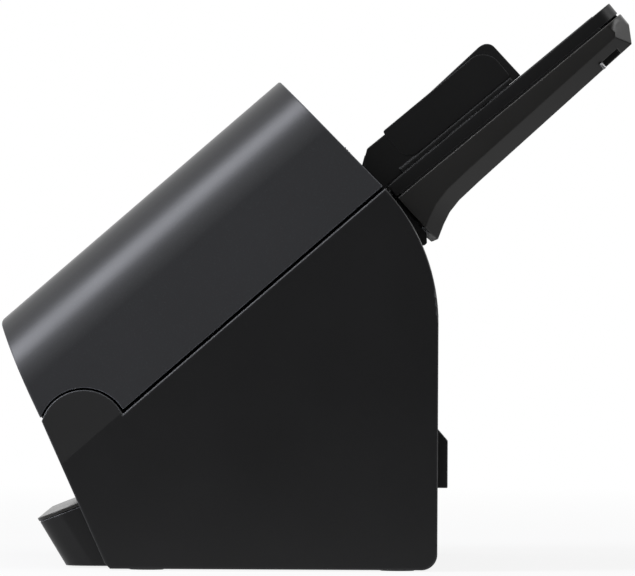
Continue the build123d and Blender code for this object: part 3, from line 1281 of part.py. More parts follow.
def rack_teeth(side):
    """A rack in plan, its teeth towards the pinion from the side it runs on."""
    half = (GEAR_MODULE * pi / 2 - TOOTH_SLACK) / 2
    lean = tan(radians(PRESSURE_ANGLE))
    tip, root = PITCH_RADIUS - TOOTH_HEIGHT, PITCH_RADIUS + GEAR_MODULE
    pitch = GEAR_MODULE * pi
    low, high = sided(side, (-RACK_REACH, PAPER_HALF + STEM_WIDTH))
    count = int((GUIDE_TRAVEL + RACK_REACH) / pitch)
    with BuildSketch(TRAY.offset(RACK_TOP)) as rack:
        near, far = sided(side, (root, root + RACK_WIDTH))
        with Locations(((low + high) / 2, PINION_ALONG + (near + far) / 2)):
            Rectangle(high - low, far - near)
        for index in range(count + 1):
            middle = side * (index - 0.5) * pitch
            Polygon(
                (middle - half - lean * GEAR_MODULE, PINION_ALONG + side * root),
                (middle - half + lean * TOOTH_HEIGHT, PINION_ALONG + side * tip),
                (middle + half - lean * TOOTH_HEIGHT, PINION_ALONG + side * tip),
                (middle + half + lean * GEAR_MODULE, PINION_ALONG + side * root), align=None,
            )
    return rack.sketch


def make_guide(name, side):
    """A document guide with its toe in the mouth, its stem and its rack."""
    top = [(GUIDE_LENGTH - 1, GUIDE_END_TOP), (GUIDE_LENGTH, GUIDE_CLEARANCE)]
    outline = [(TOE_POINTS[0][0], GUIDE_CLEARANCE), *TOE_POINTS, GUIDE_TOP_BACK, *top]
    with BuildSketch(TRAY_SIDE.offset(PAPER_HALF if side > 0 else -PAPER_HALF - GUIDE_WALL)) as wall:
        Polygon(*outline, align=None)
        fillet(wall.vertices().sort_by_distance(GUIDE_TOP_BACK)[0], radius=GUIDE_CORNER)
    rack = rack_teeth(side)
    foot = (PAPER_HALF, PAPER_HALF + GUIDE_WALL + GUIDE_FOOT_WIDTH)
    with BuildPart(TRAY) as guide:
        extrude(wall.sketch, amount=GUIDE_WALL)
        block(
            sided(side, foot), GUIDE_FOOT_ALONG,
            (GUIDE_CLEARANCE, GUIDE_CLEARANCE + GUIDE_FOOT_HEIGHT),
        )
        block(
            sided(side, (PAPER_HALF, PAPER_HALF + STEM_WIDTH)), stem_span(side),
            (RACK_TOP - GEAR_THICKNESS, GUIDE_CLEARANCE + GUIDE_FOOT_HEIGHT),
        )
        extrude(rack, amount=-GEAR_THICKNESS)
    save(guide.part, name)


def make_pinion():
    """The pinion under the tray plate that makes the two guides move together."""
    base_radius = PITCH_RADIUS * cos(radians(PRESSURE_ANGLE))
    outer, root = PITCH_RADIUS + TOOTH_HEIGHT, PITCH_RADIUS - GEAR_MODULE
    pitch_half = (GEAR_MODULE * pi / 2 - TOOTH_SLACK) / 2 / PITCH_RADIUS
    at_pitch = tan(radians(PRESSURE_ANGLE)) - radians(PRESSURE_ANGLE)
    flank = []
    below, above = (base_radius + PITCH_RADIUS) / 2, (PITCH_RADIUS + outer) / 2
    for radius in (base_radius, below, PITCH_RADIUS, above, outer):
        angle = acos(min(1, base_radius / radius))
        flank.append((radius, pitch_half + at_pitch - (tan(angle) - angle)))
    flank.insert(0, (root - RUNNING_FIT, flank[0][1]))
    right = [(radius * cos(half), radius * sin(half)) for radius, half in flank]
    left = [(x, -y) for x, y in reversed(right)]
    with BuildSketch(TRAY.offset(RACK_TOP)) as gear:
        with Locations((0, PINION_ALONG)):
            Circle(root)
        with Locations((0, PINION_ALONG)):
            with PolarLocations(0, PINION_TEETH):
                Polygon(*right, *left, align=None)
            Circle(PINION_PIN_RADIUS + RUNNING_FIT, mode=Mode.SUBTRACT)
    with BuildPart() as pinion:
        extrude(gear.sketch, amount=-GEAR_THICKNESS)
    save(pinion.part, "guide_pinion")


def make_flag():
    """The flag in the feed tray that a sheet presses down."""
    half = FLAG_AXLE_RADIUS - RUNNING_FIT
    with BuildSketch(TRAY_SIDE.offset(FLAG_X - FLAG_WIDTH / 2)) as arm:
        Polygon(
            (FLAG_ALONG - half, -FLAG_AXLE_DEPTH), (FLAG_ALONG + half, -FLAG_AXLE_DEPTH),
            (FLAG_ALONG + half / 2, FLAG_HEIGHT), (FLAG_ALONG - half, FLAG_HEIGHT), align=None,
        )
    with BuildPart(TRAY) as flag:
        extrude(arm.sketch, amount=FLAG_WIDTH)
        rod(
            FLAG_AXLE_RADIUS, (FLAG_X - FLAG_AXLE_HALF, FLAG_X + FLAG_AXLE_HALF),
            FLAG_ALONG, -FLAG_AXLE_DEPTH,
        )
    save(flag.part, "document_flag")


def main():
    """Make every piece and write it to its own file."""
    os.makedirs("parts", exist_ok=True)
    make_cover_shell()
    make_cover_guide()
    make_sensor("upper_sensor", UPPER_SENSOR_ALONG, 1)
    make_sensor("lower_sensor", LOWER_SENSOR_ALONG, -1)
    make_separation_holder()
    make_separation_roller()
    make_pinch_roller("drive_pinch_roller", DRIVE_ALONG)
    make_pinch_roller("eject_pinch_roller", EJECT_ALONG)
    make_driven_roller(
        "feed", FEED_ALONG, FEED_UP, FEED_RADIUS, (-FEED_TYRE_X, FEED_TYRE_X), FEED_TYRE_WIDTH
    )
    make_driven_roller("drive", DRIVE_ALONG, DRIVE_UP, DRIVE_RADIUS, TYRE_PLACES, TYRE_WIDTH)
    make_driven_roller("eject", EJECT_ALONG, DRIVE_UP, DRIVE_RADIUS, TYRE_PLACES, TYRE_WIDTH)
    make_motor()
    make_belt()
    make_latch()
    make_operation_panel()
    make_base_covers()
    make_frames()
    make_frame_fittings()
    make_lower_guide()
    make_base_plates()
    make_rear_cover()
    make_main_board()
    make_feet()
    make_eject_tray()
    make_feed_plate()
    make_feed_shell()
    make_brackets()
    make_stages()
    make_guide("right_document_guide", 1)
    make_guide("left_document_guide", -1)
    make_pinion()
    make_flag()


main()
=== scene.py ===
import json
import math

import bpy
from mathutils import Matrix, Vector


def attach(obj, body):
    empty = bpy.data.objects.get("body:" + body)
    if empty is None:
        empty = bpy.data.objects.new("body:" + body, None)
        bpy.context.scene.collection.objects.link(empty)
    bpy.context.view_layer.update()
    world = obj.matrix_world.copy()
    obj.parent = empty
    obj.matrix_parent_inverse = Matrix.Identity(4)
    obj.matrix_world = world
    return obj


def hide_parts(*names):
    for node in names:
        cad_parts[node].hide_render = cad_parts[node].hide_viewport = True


# A compact sheet-fed document scanner in charcoal and black plastic, seen from its right side.

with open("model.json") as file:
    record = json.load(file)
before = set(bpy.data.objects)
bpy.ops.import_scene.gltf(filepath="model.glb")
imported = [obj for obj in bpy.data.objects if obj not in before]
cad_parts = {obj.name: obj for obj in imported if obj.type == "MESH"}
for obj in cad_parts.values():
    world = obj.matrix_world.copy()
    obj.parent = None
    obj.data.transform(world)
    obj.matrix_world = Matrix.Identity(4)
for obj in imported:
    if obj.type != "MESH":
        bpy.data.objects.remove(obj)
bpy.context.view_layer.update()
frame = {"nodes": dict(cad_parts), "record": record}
nodes = frame["nodes"]
bpy.ops.object.select_all(action="DESELECT")

BODY_OF = {
    node: body for body, members in frame["record"]["behaviour"]["bodies"].items() for node in members
}
SLOT_OF = {part["node"]: part["material_slot"] for part in frame["record"]["subparts"]}


# Shader steps

def feed(tree, socket, given):
    """Give a socket another node's output, a colour or a number."""
    if isinstance(given, bpy.types.NodeSocket):
        tree.links.new(given, socket)
    elif isinstance(given, tuple):
        socket.default_value = (*given, 1.0)
    else:
        socket.default_value = given


def ranged(tree, value, low, high, start=0.0, end=1.0, smooth=False):
    """A value that runs from start to end, made to run from low to high."""
    node = tree.nodes.new("ShaderNodeMapRange")
    if smooth:
        node.interpolation_type = "SMOOTHSTEP"
    node.inputs["From Min"].default_value = start
    node.inputs["From Max"].default_value = end
    feed(tree, node.inputs["To Min"], low)
    feed(tree, node.inputs["To Max"], high)
    tree.links.new(value, node.inputs["Value"])
    return node.outputs["Result"]


def maths(tree, operation, first, second):
    """Two values put together by an operation."""
    node = tree.nodes.new("ShaderNodeMath")
    node.operation = operation
    feed(tree, node.inputs[0], first)
    feed(tree, node.inputs[1], second)
    return node.outputs["Value"]


def mixed_colours(tree, factor, first, second):
    """Two colours mixed by a mask."""
    mix = tree.nodes.new("ShaderNodeMix")
    mix.data_type = "RGBA"
    feed(tree, mix.inputs["A"], first)
    feed(tree, mix.inputs["B"], second)
    tree.links.new(factor, mix.inputs["Factor"])
    return mix.outputs["Result"]


def noise(tree, place, scale, detail=2.0, roughness=0.5):
    """A noise value at a place."""
    texture = tree.nodes.new("ShaderNodeTexNoise")
    texture.inputs["Detail"].default_value = detail
    texture.inputs["Roughness"].default_value = roughness
    tree.links.new(place, texture.inputs["Vector"])
    feed(tree, texture.inputs["Scale"], scale)
    return texture.outputs["Fac"]


def rounded_normal(tree, radius):
    """The surface normal rounded over the edges."""
    bevel = tree.nodes.new("ShaderNodeBevel")
    bevel.samples = 4
    bevel.inputs["Radius"].default_value = radius
    return bevel.outputs["Normal"]


def bumped(tree, height, strength, distance, normal=None):
    """The surface normal with a fine relief."""
    bump = tree.nodes.new("ShaderNodeBump")
    bump.inputs["Strength"].default_value = strength
    bump.inputs["Distance"].default_value = distance
    tree.links.new(height, bump.inputs["Height"])
    if normal:
        tree.links.new(normal, bump.inputs["Normal"])
    return bump.outputs["Normal"]


# Shared surface effects

def effect_group(name, inputs, outputs):
    """An empty shader group with its named inputs and outputs."""
    tree = bpy.data.node_groups.new(name, "ShaderNodeTree")
    for label, kind, value in inputs:
        socket = tree.interface.new_socket(name=label, in_out="INPUT", socket_type=kind)
        if value is not None:
            socket.default_value = value
    for label, kind in outputs:
        tree.interface.new_socket(name=label, in_out="OUTPUT", socket_type=kind)
    return tree, tree.nodes.new("NodeGroupInput"), tree.nodes.new("NodeGroupOutput")


def moulded_grain():
    """Spark-eroded grain of moulded plastic: a fine height, its speckle and a slow mottle."""
    tree, given, out = effect_group(
        "moulded_grain",
        [("Vector", "NodeSocketVector", None), ("Grain", "NodeSocketFloat", 1400.0),
         ("Mottle", "NodeSocketFloat", 26.0)],
        [("Height", "NodeSocketFloat"), ("Speckle", "NodeSocketFloat"), ("Mottle", "NodeSocketFloat")],
    )
    place = given.outputs["Vector"]
    fine = noise(tree, place, given.outputs["Grain"], roughness=0.6)
    slow = noise(tree, place, given.outputs["Mottle"], detail=3.0)
    tree.links.new(fine, out.inputs["Height"])
    tree.links.new(ranged(tree, fine, 0.0, 1.0, 0.56, 0.74), out.inputs["Speckle"])
    tree.links.new(slow, out.inputs["Mottle"])
    return tree


def brushed_lines():
    """The fine parallel lines of rolled and brushed sheet."""
    tree, given, out = effect_group(
        "brushed_lines",
        [("Vector", "NodeSocketVector", None), ("Lines", "NodeSocketFloat", 900.0)],
        [("Height", "NodeSocketFloat"), ("Streak", "NodeSocketFloat")],
    )
    stretch = tree.nodes.new("ShaderNodeMapping")
    stretch.inputs["Scale"].default_value = (1.0, 0.02, 1.0)
    tree.links.new(given.outputs["Vector"], stretch.inputs["Vector"])
    lines = noise(tree, stretch.outputs["Vector"], given.outputs["Lines"], detail=3.0)
    tree.links.new(lines, out.inputs["Height"])
    tree.links.new(ranged(tree, lines, 0.0, 1.0, 0.3, 0.7), out.inputs["Streak"])
    return tree


def painted_edge_highlights():
    """Where a surface turns over an edge, from its true and its rounded normal: the mask for a painted
    highlight along the edges.
    """
    tree, given, out = effect_group(
        "painted_edge_highlights",
        [("Rounded", "NodeSocketVector", None), ("True", "NodeSocketVector", None)],
        [("Edge", "NodeSocketFloat")],
    )
    dot = tree.nodes.new("ShaderNodeVectorMath")
    dot.operation = "DOT_PRODUCT"
    tree.links.new(given.outputs["Rounded"], dot.inputs[0])
    tree.links.new(given.outputs["True"], dot.inputs[1])
    tree.links.new(ranged(tree, dot.outputs["Value"], 0.0, 1.0, 0.995, 0.86), out.inputs["Edge"])
    return tree


GRAIN = moulded_grain()
BRUSHED = brushed_lines()
EDGE_HIGHLIGHTS = painted_edge_highlights()


# Finishes

def new_material(name):
    """A fresh material with its shader and object coordinates."""
    material = bpy.data.materials.new(name)
    material.use_nodes = True
    tree = material.node_tree
    return material, tree, tree.nodes["Principled BSDF"], tree.nodes.new("ShaderNodeTexCoord")


def effect(tree, group):
    """One of the shared effects, set into a material."""
    node = tree.nodes.new("ShaderNodeGroup")
    node.node_tree = group
    return node


def linear(*colour):
    """A screen colour from 0 to 255 as the shader's linear colour."""
    return tuple(
        v / 255 / 12.92 if v / 255 <= 0.04045 else ((v / 255 + 0.055) / 1.055) ** 2.4 for v in colour
    )


def shaded(colour, share):
    """A colour made darker or lighter."""
    return tuple(share * c for c in colour)


def moulded_plastic(
    name, colour, rim, roughness, shine=0.5, grain=1400.0, depth=0.25, edge=0.0006, speckle=0.0,
    coat=0.0,
):
    """Moulded plastic: grain, a slow mottle and a painted highlight in the rim colour along its edges.
    """
    material, tree, shader, place = new_material(name)
    link = tree.links.new
    surface = effect(tree, GRAIN)
    surface.inputs["Grain"].default_value = grain
    link(place.outputs["Object"], surface.inputs["Vector"])
    mottle = surface.outputs["Mottle"]
    rounded = rounded_normal(tree, edge)
    edges = effect(tree, EDGE_HIGHLIGHTS)
    link(rounded, edges.inputs["Rounded"])
    link(tree.nodes.new("ShaderNodeNewGeometry").outputs["Normal"], edges.inputs["True"])
    base = mixed_colours(tree, mottle, shaded(colour, 0.86), shaded(colour, 1.14))
    spots = maths(tree, "MULTIPLY", surface.outputs["Speckle"], speckle)
    base = mixed_colours(tree, spots, base, rim)
    # Painted highlight: the rim colour is painted along every edge. The grain's speckle also takes the
    # rim colour.
    link(mixed_colours(tree, edges.outputs["Edge"], base, rim), shader.inputs["Base Color"])
    link(ranged(tree, mottle, roughness - 0.04, roughness + 0.04), shader.inputs["Roughness"])
    relief = bumped(tree, surface.outputs["Height"], depth, 0.00005, rounded)
    link(relief, shader.inputs["Normal"])
    shader.inputs["Specular IOR Level"].default_value = shine
    shader.inputs["Coat Weight"].default_value = coat
    shader.inputs["Coat Roughness"].default_value = 0.08
    return material


def rolled_steel(name, colour, roughness, lines=900.0):
    """Plated sheet or ground bar with fine lines along it."""
    material, tree, shader, place = new_material(name)
    link = tree.links.new
    surface = effect(tree, BRUSHED)
    surface.inputs["Lines"].default_value = lines
    link(place.outputs["Object"], surface.inputs["Vector"])
    streak = surface.outputs["Streak"]
    base = mixed_colours(tree, streak, shaded(colour, 0.82), shaded(colour, 1.1))
    link(base, shader.inputs["Base Color"])
    link(ranged(tree, streak, roughness - 0.06, roughness + 0.08), shader.inputs["Roughness"])
    relief = bumped(tree, surface.outputs["Height"], 0.15, 0.00002, rounded_normal(tree, 0.0003))
    link(relief, shader.inputs["Normal"])
    shader.inputs["Metallic"].default_value = 1.0
    return material


def clear_glass(name, tint):
    """Flat sensor glass with a faint green tint."""
    material, tree, shader, place = new_material(name)
    smear = noise(tree, place.outputs["Object"], 40.0)
    tree.links.new(ranged(tree, smear, 0.02, 0.07), shader.inputs["Roughness"])
    shader.inputs["Base Color"].default_value = (*tint, 1.0)
    shader.inputs["Transmission Weight"].default_value = 1.0
    shader.inputs["IOR"].default_value = 1.5
    return material


def circuit_board(name, mask_colour, copper_colour):
    """Green solder mask with the copper tracks showing through it."""
    material, tree, shader, place = new_material(name)
    tracks = tree.nodes.new("ShaderNodeTexBrick")
    tracks.inputs["Scale"].default_value = 260.0
    tracks.inputs["Mortar Size"].default_value = 0.012
    feed(tree, tracks.inputs["Color1"], mask_colour)
    feed(tree, tracks.inputs["Color2"], shaded(mask_colour, 0.7))
    feed(tree, tracks.inputs["Mortar"], copper_colour)
    tree.links.new(place.outputs["Object"], tracks.inputs["Vector"])
    tree.links.new(tracks.outputs["Color"], shader.inputs["Base Color"])
    tree.links.new(bumped(tree, tracks.outputs["Fac"], 0.2, 0.00004), shader.inputs["Normal"])
    shader.inputs["Roughness"].default_value = 0.3
    return material


# Each moulded finish's second colour is its rim colour: the grain's speckle, and a painted highlight
# along its edges.
FINISHES = {
    "cover_plastic": moulded_plastic(
        "charcoal_cover", linear(22, 23, 26), linear(112, 114, 119), 0.35, shine=0.5, speckle=0.05
    ),
    "base_plastic": moulded_plastic(
        "black_base", linear(9, 9, 10), linear(124, 125, 128), 0.32, shine=0.45, speckle=0.01
    ),
    "tray_plastic": moulded_plastic(
        "black_tray", linear(11, 11, 11), linear(58, 58, 58), 0.36, shine=0.3, grain=1100.0
    ),
    "tray_top_plastic": moulded_plastic(
        "satin_tray", linear(19, 18, 16), linear(92, 90, 86), 0.3, shine=0.62
    ),
    "inner_plastic": moulded_plastic(
        "smooth_black", linear(17, 17, 17), linear(60, 60, 60), 0.38, shine=0.3, depth=0.1
    ),
    "grey_plastic": moulded_plastic(
        "grey_fittings", linear(112, 114, 116), linear(160, 160, 160), 0.42, depth=0.1
    ),
    "rubber": moulded_plastic(
        "foot_rubber", linear(26, 26, 27), linear(60, 60, 60), 0.75, shine=0.25, grain=2200.0,
        depth=0.5,
    ),
    "tyre_rubber": moulded_plastic(
        "feed_rubber", linear(88, 90, 94), linear(120, 120, 124), 0.78, shine=0.25, grain=2400.0,
        depth=0.6,
    ),
    "sensor_housing": moulded_plastic(
        "sensor_black", linear(18, 18, 19), linear(60, 60, 60), 0.4, shine=0.3, depth=0.12
    ),
    "panel_gloss": moulded_plastic(
        "gloss_panel", linear(12, 13, 15), linear(50, 52, 56), 0.16, depth=0.0, coat=0.5
    ),
    "button_plastic": moulded_plastic(
        "grey_button", linear(92, 95, 99), linear(150, 152, 156), 0.35, depth=0.08, edge=0.0009
    ),
    "button_blue": moulded_plastic(
        "blue_button", linear(44, 92, 146), linear(110, 150, 196), 0.33, depth=0.08, edge=0.0009
    ),
    "window": moulded_plastic(
        "status_lens", linear(14, 22, 32), linear(40, 52, 64), 0.1, depth=0.0, coat=0.6
    ),
    "motor_metal": moulded_plastic(
        "plated_can", linear(70, 72, 76), linear(140, 142, 146), 0.3, shine=0.6, depth=0.05
    ),
    "steel": rolled_steel("plated_steel", (0.46, 0.46, 0.47), 0.34),
    "socket_metal": rolled_steel("tinned_shell", (0.52, 0.52, 0.51), 0.28, lines=1800.0),
    "glass": clear_glass("sensor_glass", (0.88, 0.95, 0.93)),
    "circuit_board": circuit_board("green_board", linear(22, 78, 48), linear(120, 132, 70)),
}
FELT = moulded_plastic(
    "black_felt", linear(9, 9, 9), linear(14, 14, 14), 0.95, shine=0.1, grain=3200.0, depth=0.8
)
BLACKENED_STEEL = rolled_steel("blackened_screws", (0.045, 0.045, 0.048), 0.38, lines=1600.0)
PILOT_GREEN = moulded_plastic(
    "pilot_green", linear(64, 140, 84), linear(120, 190, 130), 0.15, depth=0.0, coat=0.4
)

for node, slot in SLOT_OF.items():
    nodes[node].data.materials.clear()
    nodes[node].data.materials.append(FINISHES[slot])


# Workbench: pieces are made in millimetres, across the machine, along and up from a stand

MM = 0.001
STANDS = {
    "table": (Vector((0.0, 0.0, 0.0)), 0.0),
    "path": (Vector((0.0, -0.09112, 0.05193)), math.radians(41.0)),
    "tray": (Vector((0.0, 0.02855, 0.1551)), math.radians(39.9)),
}
FACING = 0.9
CORNER_SEGMENTS = 10
SAME_POINT = 0.0002
SHORTEST_CORNER = 0.0003
MERGE_WITHIN = 0.000002
FLAT_WITHIN = math.radians(0.4)


def take(*pieces):
    """Select only these pieces, the last one active."""
    bpy.ops.object.select_all(action="DESELECT")
    for piece in pieces:
        piece.select_set(True)
    bpy.context.view_layer.objects.active = pieces[-1]


def settle():
    """Put the selected piece's place, turn and size into its mesh."""
    bpy.ops.object.transform_apply(location=True, rotation=True, scale=True)


def cut_block(name, across, along, up):
    """A block between its low and high ends."""
    ends = (across, along, up)
    bpy.ops.mesh.primitive_cube_add(size=1.0, location=[(a + b) / 2 * MM for a, b in ends])
    piece = bpy.context.object
    piece.name = name
    piece.scale = [(b - a) * MM for a, b in ends]
    settle()
    return piece


def turned_disc(name, middle, radius, thickness, axis="Z", sides=64):
    """A disc or roller that stands along Z or lies along X."""
    bpy.ops.mesh.primitive_cylinder_add(
        vertices=sides, radius=radius * MM, depth=thickness * MM,
        location=[v * MM for v in middle],
        rotation=(0.0, math.radians(90.0) if axis == "X" else 0.0, 0.0),
    )
    piece = bpy.context.object
    piece.name = name
    settle()
    return piece


def placed(name, mesh):
    """A new piece with a mesh of its own."""
    piece = bpy.data.objects.new(name, mesh)
    bpy.context.scene.collection.objects.link(piece)
    take(piece)
    return piece


def clear_picks(piece, kind):
    """Unselect all of the piece's faces or edges, ready to pick among them."""
    take(piece)
    bpy.ops.object.mode_set(mode="EDIT")
    bpy.ops.mesh.select_mode(type=kind)
    bpy.ops.mesh.select_all(action="DESELECT")
    bpy.ops.object.mode_set(mode="OBJECT")


def pick_faces(piece, chosen):
    """Edit the piece with only the faces selected that a test picks."""
    clear_picks(piece, "FACE")
    for face in piece.data.polygons:
        face.select = chosen(face)
    bpy.ops.object.mode_set(mode="EDIT")


def faces_up(face):
    """Whether a face looks up."""
    return face.normal.z > FACING


def faces_down(face):
    """Whether a face looks down."""
    return face.normal.z < -FACING


def faces_sideways(face):
    """Whether a face looks to the left or right."""
    return abs(face.normal.x) > FACING


def stepped(piece, chosen, *steps, apart=False):
    """Inset the chosen faces step by step, each step a width and a height."""
    pick_faces(piece, chosen)
    for width, height in steps:
        bpy.ops.mesh.inset(thickness=width * MM, depth=height * MM, use_individual=apart)
    bpy.ops.object.mode_set(mode="OBJECT")


def turned_outwards():
    """Turn every face of the mesh being edited outwards, and end the editing."""
    bpy.ops.mesh.select_all(action="SELECT")
    bpy.ops.mesh.normals_make_consistent(inside=False)
    bpy.ops.object.mode_set(mode="OBJECT")


def modified(piece, kind, **settings):
    """Add a modifier with its settings and apply it."""
    take(piece)
    modifier = piece.modifiers.new(kind.lower(), kind)
    for name, value in settings.items():
        setattr(modifier, name, value)
    bpy.ops.object.modifier_apply(modifier=modifier.name)
    return piece


def eased(piece, width, angle=30.0, clamp=True):
    """Round the piece's edges."""
    return modified(
        piece, "BEVEL", width=width * MM, segments=2, limit_method="ANGLE",
        angle_limit=math.radians(angle), use_clamp_overlap=clamp,
    )


def eased_block(name, across, along, up, width):
    """A block with rounded edges."""
    return eased(cut_block(name, across, along, up), width)


def in_a_row(piece, count, step):
    """Repeat the piece at a step."""
    return modified(
        piece, "ARRAY", count=count, use_relative_offset=False, use_constant_offset=True,
        constant_offset_displace=[v * MM for v in step],
    )


def joined(name, *pieces):
    """Several pieces of one moulding as one."""
    take(*pieces)
    bpy.ops.object.join()
    piece = bpy.context.object
    piece.name = name
    return piece


def mirrored(piece, name):
    """The left twin of a right-hand piece, facing outwards again."""
    twin = placed(name, piece.data.copy())
    twin.scale = (-1.0, 1.0, 1.0)
    settle()
    bpy.ops.object.mode_set(mode="EDIT")
    turned_outwards()
    return twin


def fitted(piece, stand, body, slot, stands_for=(), finish=None, smooth=35.0):
    """Set the piece in its frame, give it its finish and let it ride on its body."""
    place, turn = STANDS[stand]
    take(piece)
    piece.location = place
    piece.rotation_euler = (turn, 0.0, 0.0)
    settle()
    bpy.ops.object.shade_smooth_by_angle(angle=math.radians(smooth))
    modified(piece, "WEIGHTED_NORMAL", weight=90, keep_sharp=True)
    piece.data.materials.clear()
    piece.data.materials.append(finish or FINISHES[slot])
    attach(piece, body)
    if stands_for:
        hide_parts(*stands_for)
    bpy.ops.object.select_all(action="DESELECT")


def fitted_pair(right, left_name, stand, bodies, slot, finish=None):
    """Fit a right-hand piece and its left twin, each on its own body."""
    left = mirrored(right, left_name)
    for piece, body in zip((right, left), bodies):
        fitted(piece, stand, body, slot, finish=finish)


def round_corner(piece, along, up, radius, stand="table"):
    """Round the edge across a piece at one of its corners."""
    place, turn = STANDS[stand]
    spot = place + Matrix.Rotation(turn, 3, "X") @ Vector((0.0, along * MM, up * MM))
    clear_picks(piece, "EDGE")
    corners = piece.data.vertices
    for edge in piece.data.edges:
        ends = [corners[index].co for index in edge.vertices]
        edge.select = abs(ends[0].x - ends[1].x) > SHORTEST_CORNER and all(
            abs(v.y - spot.y) + abs(v.z - spot.z) < SAME_POINT for v in ends
        )
    bpy.ops.object.mode_set(mode="EDIT")
    bpy.ops.mesh.bevel(offset=radius * MM, segments=CORNER_SEGMENTS)
    bpy.ops.object.mode_set(mode="OBJECT")


def moulded(node, radius=0.35, angle=35.0, corners=()):
    """A moulding with its sharp edges eased, in place of the sharp one."""
    piece = placed(f"moulded_{node}", nodes[node].data.copy())
    bpy.ops.mesh.customdata_custom_splitnormals_clear()
    bpy.ops.object.mode_set(mode="EDIT")
    bpy.ops.mesh.select_all(action="SELECT")
    bpy.ops.mesh.remove_doubles(threshold=MERGE_WITHIN)
    bpy.ops.mesh.dissolve_limited(angle_limit=FLAT_WITHIN)
    bpy.ops.object.mode_set(mode="OBJECT")
    for corner in corners:
        round_corner(piece, *corner, stand="tray")
    eased(piece, radius, angle, clamp=False)
    fitted(piece, "table", BODY_OF[node], SLOT_OF[node], stands_for=(node,), smooth=angle)


# Light seals, shadow gap and feed mouth

SEAL_MIDDLE = 130.3
SEAL_WIDTH = 3.0
SEAL_RADIUS = 18.45
SEAL_THICKNESS = 0.8
HUB_UP = 3.4
RING_FOOT = -0.5
RING_END_NORMAL = (0.0, -0.875, -0.485)
LAYER_GAP = (-6.2, -5.4)


def light_seals():
    """Felt strips that keep light out of the gap between the base and the cover."""
    across = (SEAL_MIDDLE - SEAL_WIDTH / 2, SEAL_MIDDLE + SEAL_WIDTH / 2)
    strip = eased_block("seal", across, (18.3, 154.6), (-0.6, 0.5), 0.15)
    ring = turned_disc("ring", (SEAL_MIDDLE, 0.0, HUB_UP), SEAL_RADIUS, SEAL_WIDTH, "X", sides=96)
    pick_faces(ring, faces_sideways)
    bpy.ops.mesh.delete(type="FACE")
    bpy.ops.mesh.select_all(action="SELECT")
    bpy.ops.mesh.bisect(
        plane_co=(0.0, 0.0, RING_FOOT * MM), plane_no=(0.0, 0.0, 1.0), clear_inner=True
    )
    bpy.ops.mesh.select_all(action="SELECT")
    bpy.ops.mesh.bisect(
        plane_co=(0.0, 0.0, HUB_UP * MM), plane_no=RING_END_NORMAL, clear_outer=True
    )
    bpy.ops.object.mode_set(mode="OBJECT")
    modified(ring, "SOLIDIFY", thickness=SEAL_THICKNESS * MM, offset=-1.0)
    right = joined("right_light_seal", ring, strip)
    fitted_pair(right, "left_light_seal", "path", ("base", "base"), "rubber", finish=FELT)


def tray_shadow_gap():
    """The spacer ledge between the feed tray's two layers, set back behind their edges."""
    side = eased_block("side", (112.9, 114.4), (0.6, 107.0), LAYER_GAP, 0.12)
    end = eased_block("end", (-106.0, 106.0), (113.8, 115.6), LAYER_GAP, 0.12)
    foot = eased_block("foot", (-114.4, 114.4), (0.5, 2.2), LAYER_GAP, 0.12)
    ledge = joined("feed_tray_ledge", mirrored(side, "other"), side, end, foot)
    fitted(ledge, "tray", "base", "inner_plastic")


def feed_mouth_lip():
    """The lip that carries the paper path from the lower guide on to the feed tray."""
    lip = eased_block("feed_mouth_lip", (-112.0, 112.0), (148.0, 157.6), (-4.4, -2.5), 0.3)
    fitted(lip, "path", "base", "inner_plastic")


# Paper paths

PATH_RIB_MIDDLES = (5.0, 15.0, 25.0, 56.0, 66.0, 76.0, 104.0)
PATH_RIB_HALF = 0.6
RIB_COUNT = 9


def path_ribs(side, body, spans, up):
    """The ribs on one of the two paper guides, between its openings."""
    ribs = [
        eased_block("rib", (middle - PATH_RIB_HALF, middle + PATH_RIB_HALF), along, up, 0.12)
        for middle in PATH_RIB_MIDDLES for along in spans
    ]
    right = joined(f"right_{side}_ribs", *ribs)
    fitted_pair(right, f"left_{side}_ribs", "path", (body, body), "inner_plastic")


def paper_ribs():
    """Low ribs that carry the sheets over the guides, the feed tray and the eject tray."""
    path_ribs("path", "base", ((14.0, 71.0), (91.0, 112.0)), (-0.75, -0.35))
    path_ribs("cover", "cover", ((5.0, 54.0), (73.0, 112.0)), (0.55, 0.95))
    tray = [
        in_a_row(
            eased_block("rib", (-97.0, -95.0), along, (-0.2, 0.28), 0.12), RIB_COUNT,
            (24.0, 0.0, 0.0),
        )
        for along in ((3.0, 25.5), (32.5, 47.5), (54.5, 108.0))
    ]
    fitted(joined("feed_tray_ribs", *tray), "tray", "base", "tray_plastic")
    rib = eased_block("eject_tray_ribs", (-101.0, -99.0), (-90.0, 36.0), (26.9, 27.45), 0.15)
    fitted(in_a_row(rib, RIB_COUNT, (25.0, 0.0, 0.0)), "table", "eject_tray", "tray_top_plastic")
    rib = eased_block("eject_slide_ribs", (-81.0, -79.0), (-100.0, 30.0), (11.2, 11.5), 0.1)
    fitted(in_a_row(rib, RIB_COUNT, (20.0, 0.0, 0.0)), "table", "eject_tray_slide", "tray_plastic")


# Rollers

TYRE_WIDTH = 20.0
TYRE_SIDES = 90
TYRE_RECESS_RADIUS = 7.2
FACES_PER_GROOVE = 3
SMALLEST_END = 0.00001


def grooved_tyre(name, middle, radius):
    """A rubber tyre with grooves across its tread and a recess round its hub."""
    tyre = turned_disc(name, middle, radius, TYRE_WIDTH, "X", sides=TYRE_SIDES)
    centre = Vector(middle) * MM

    def groove(face):
        out = face.center - centre
        step = round(math.degrees(math.atan2(out.z, out.y)) * TYRE_SIDES / 360.0 - 0.5)
        return abs(face.normal.x) < 0.5 and step % FACES_PER_GROOVE == 0

    def end(face):
        return faces_sideways(face) and face.area > SMALLEST_END

    stepped(tyre, groove, (0.12, -0.45), apart=True)
    stepped(tyre, end, (radius - TYRE_RECESS_RADIUS, 0.0), (0.3, -0.9))
    return tyre


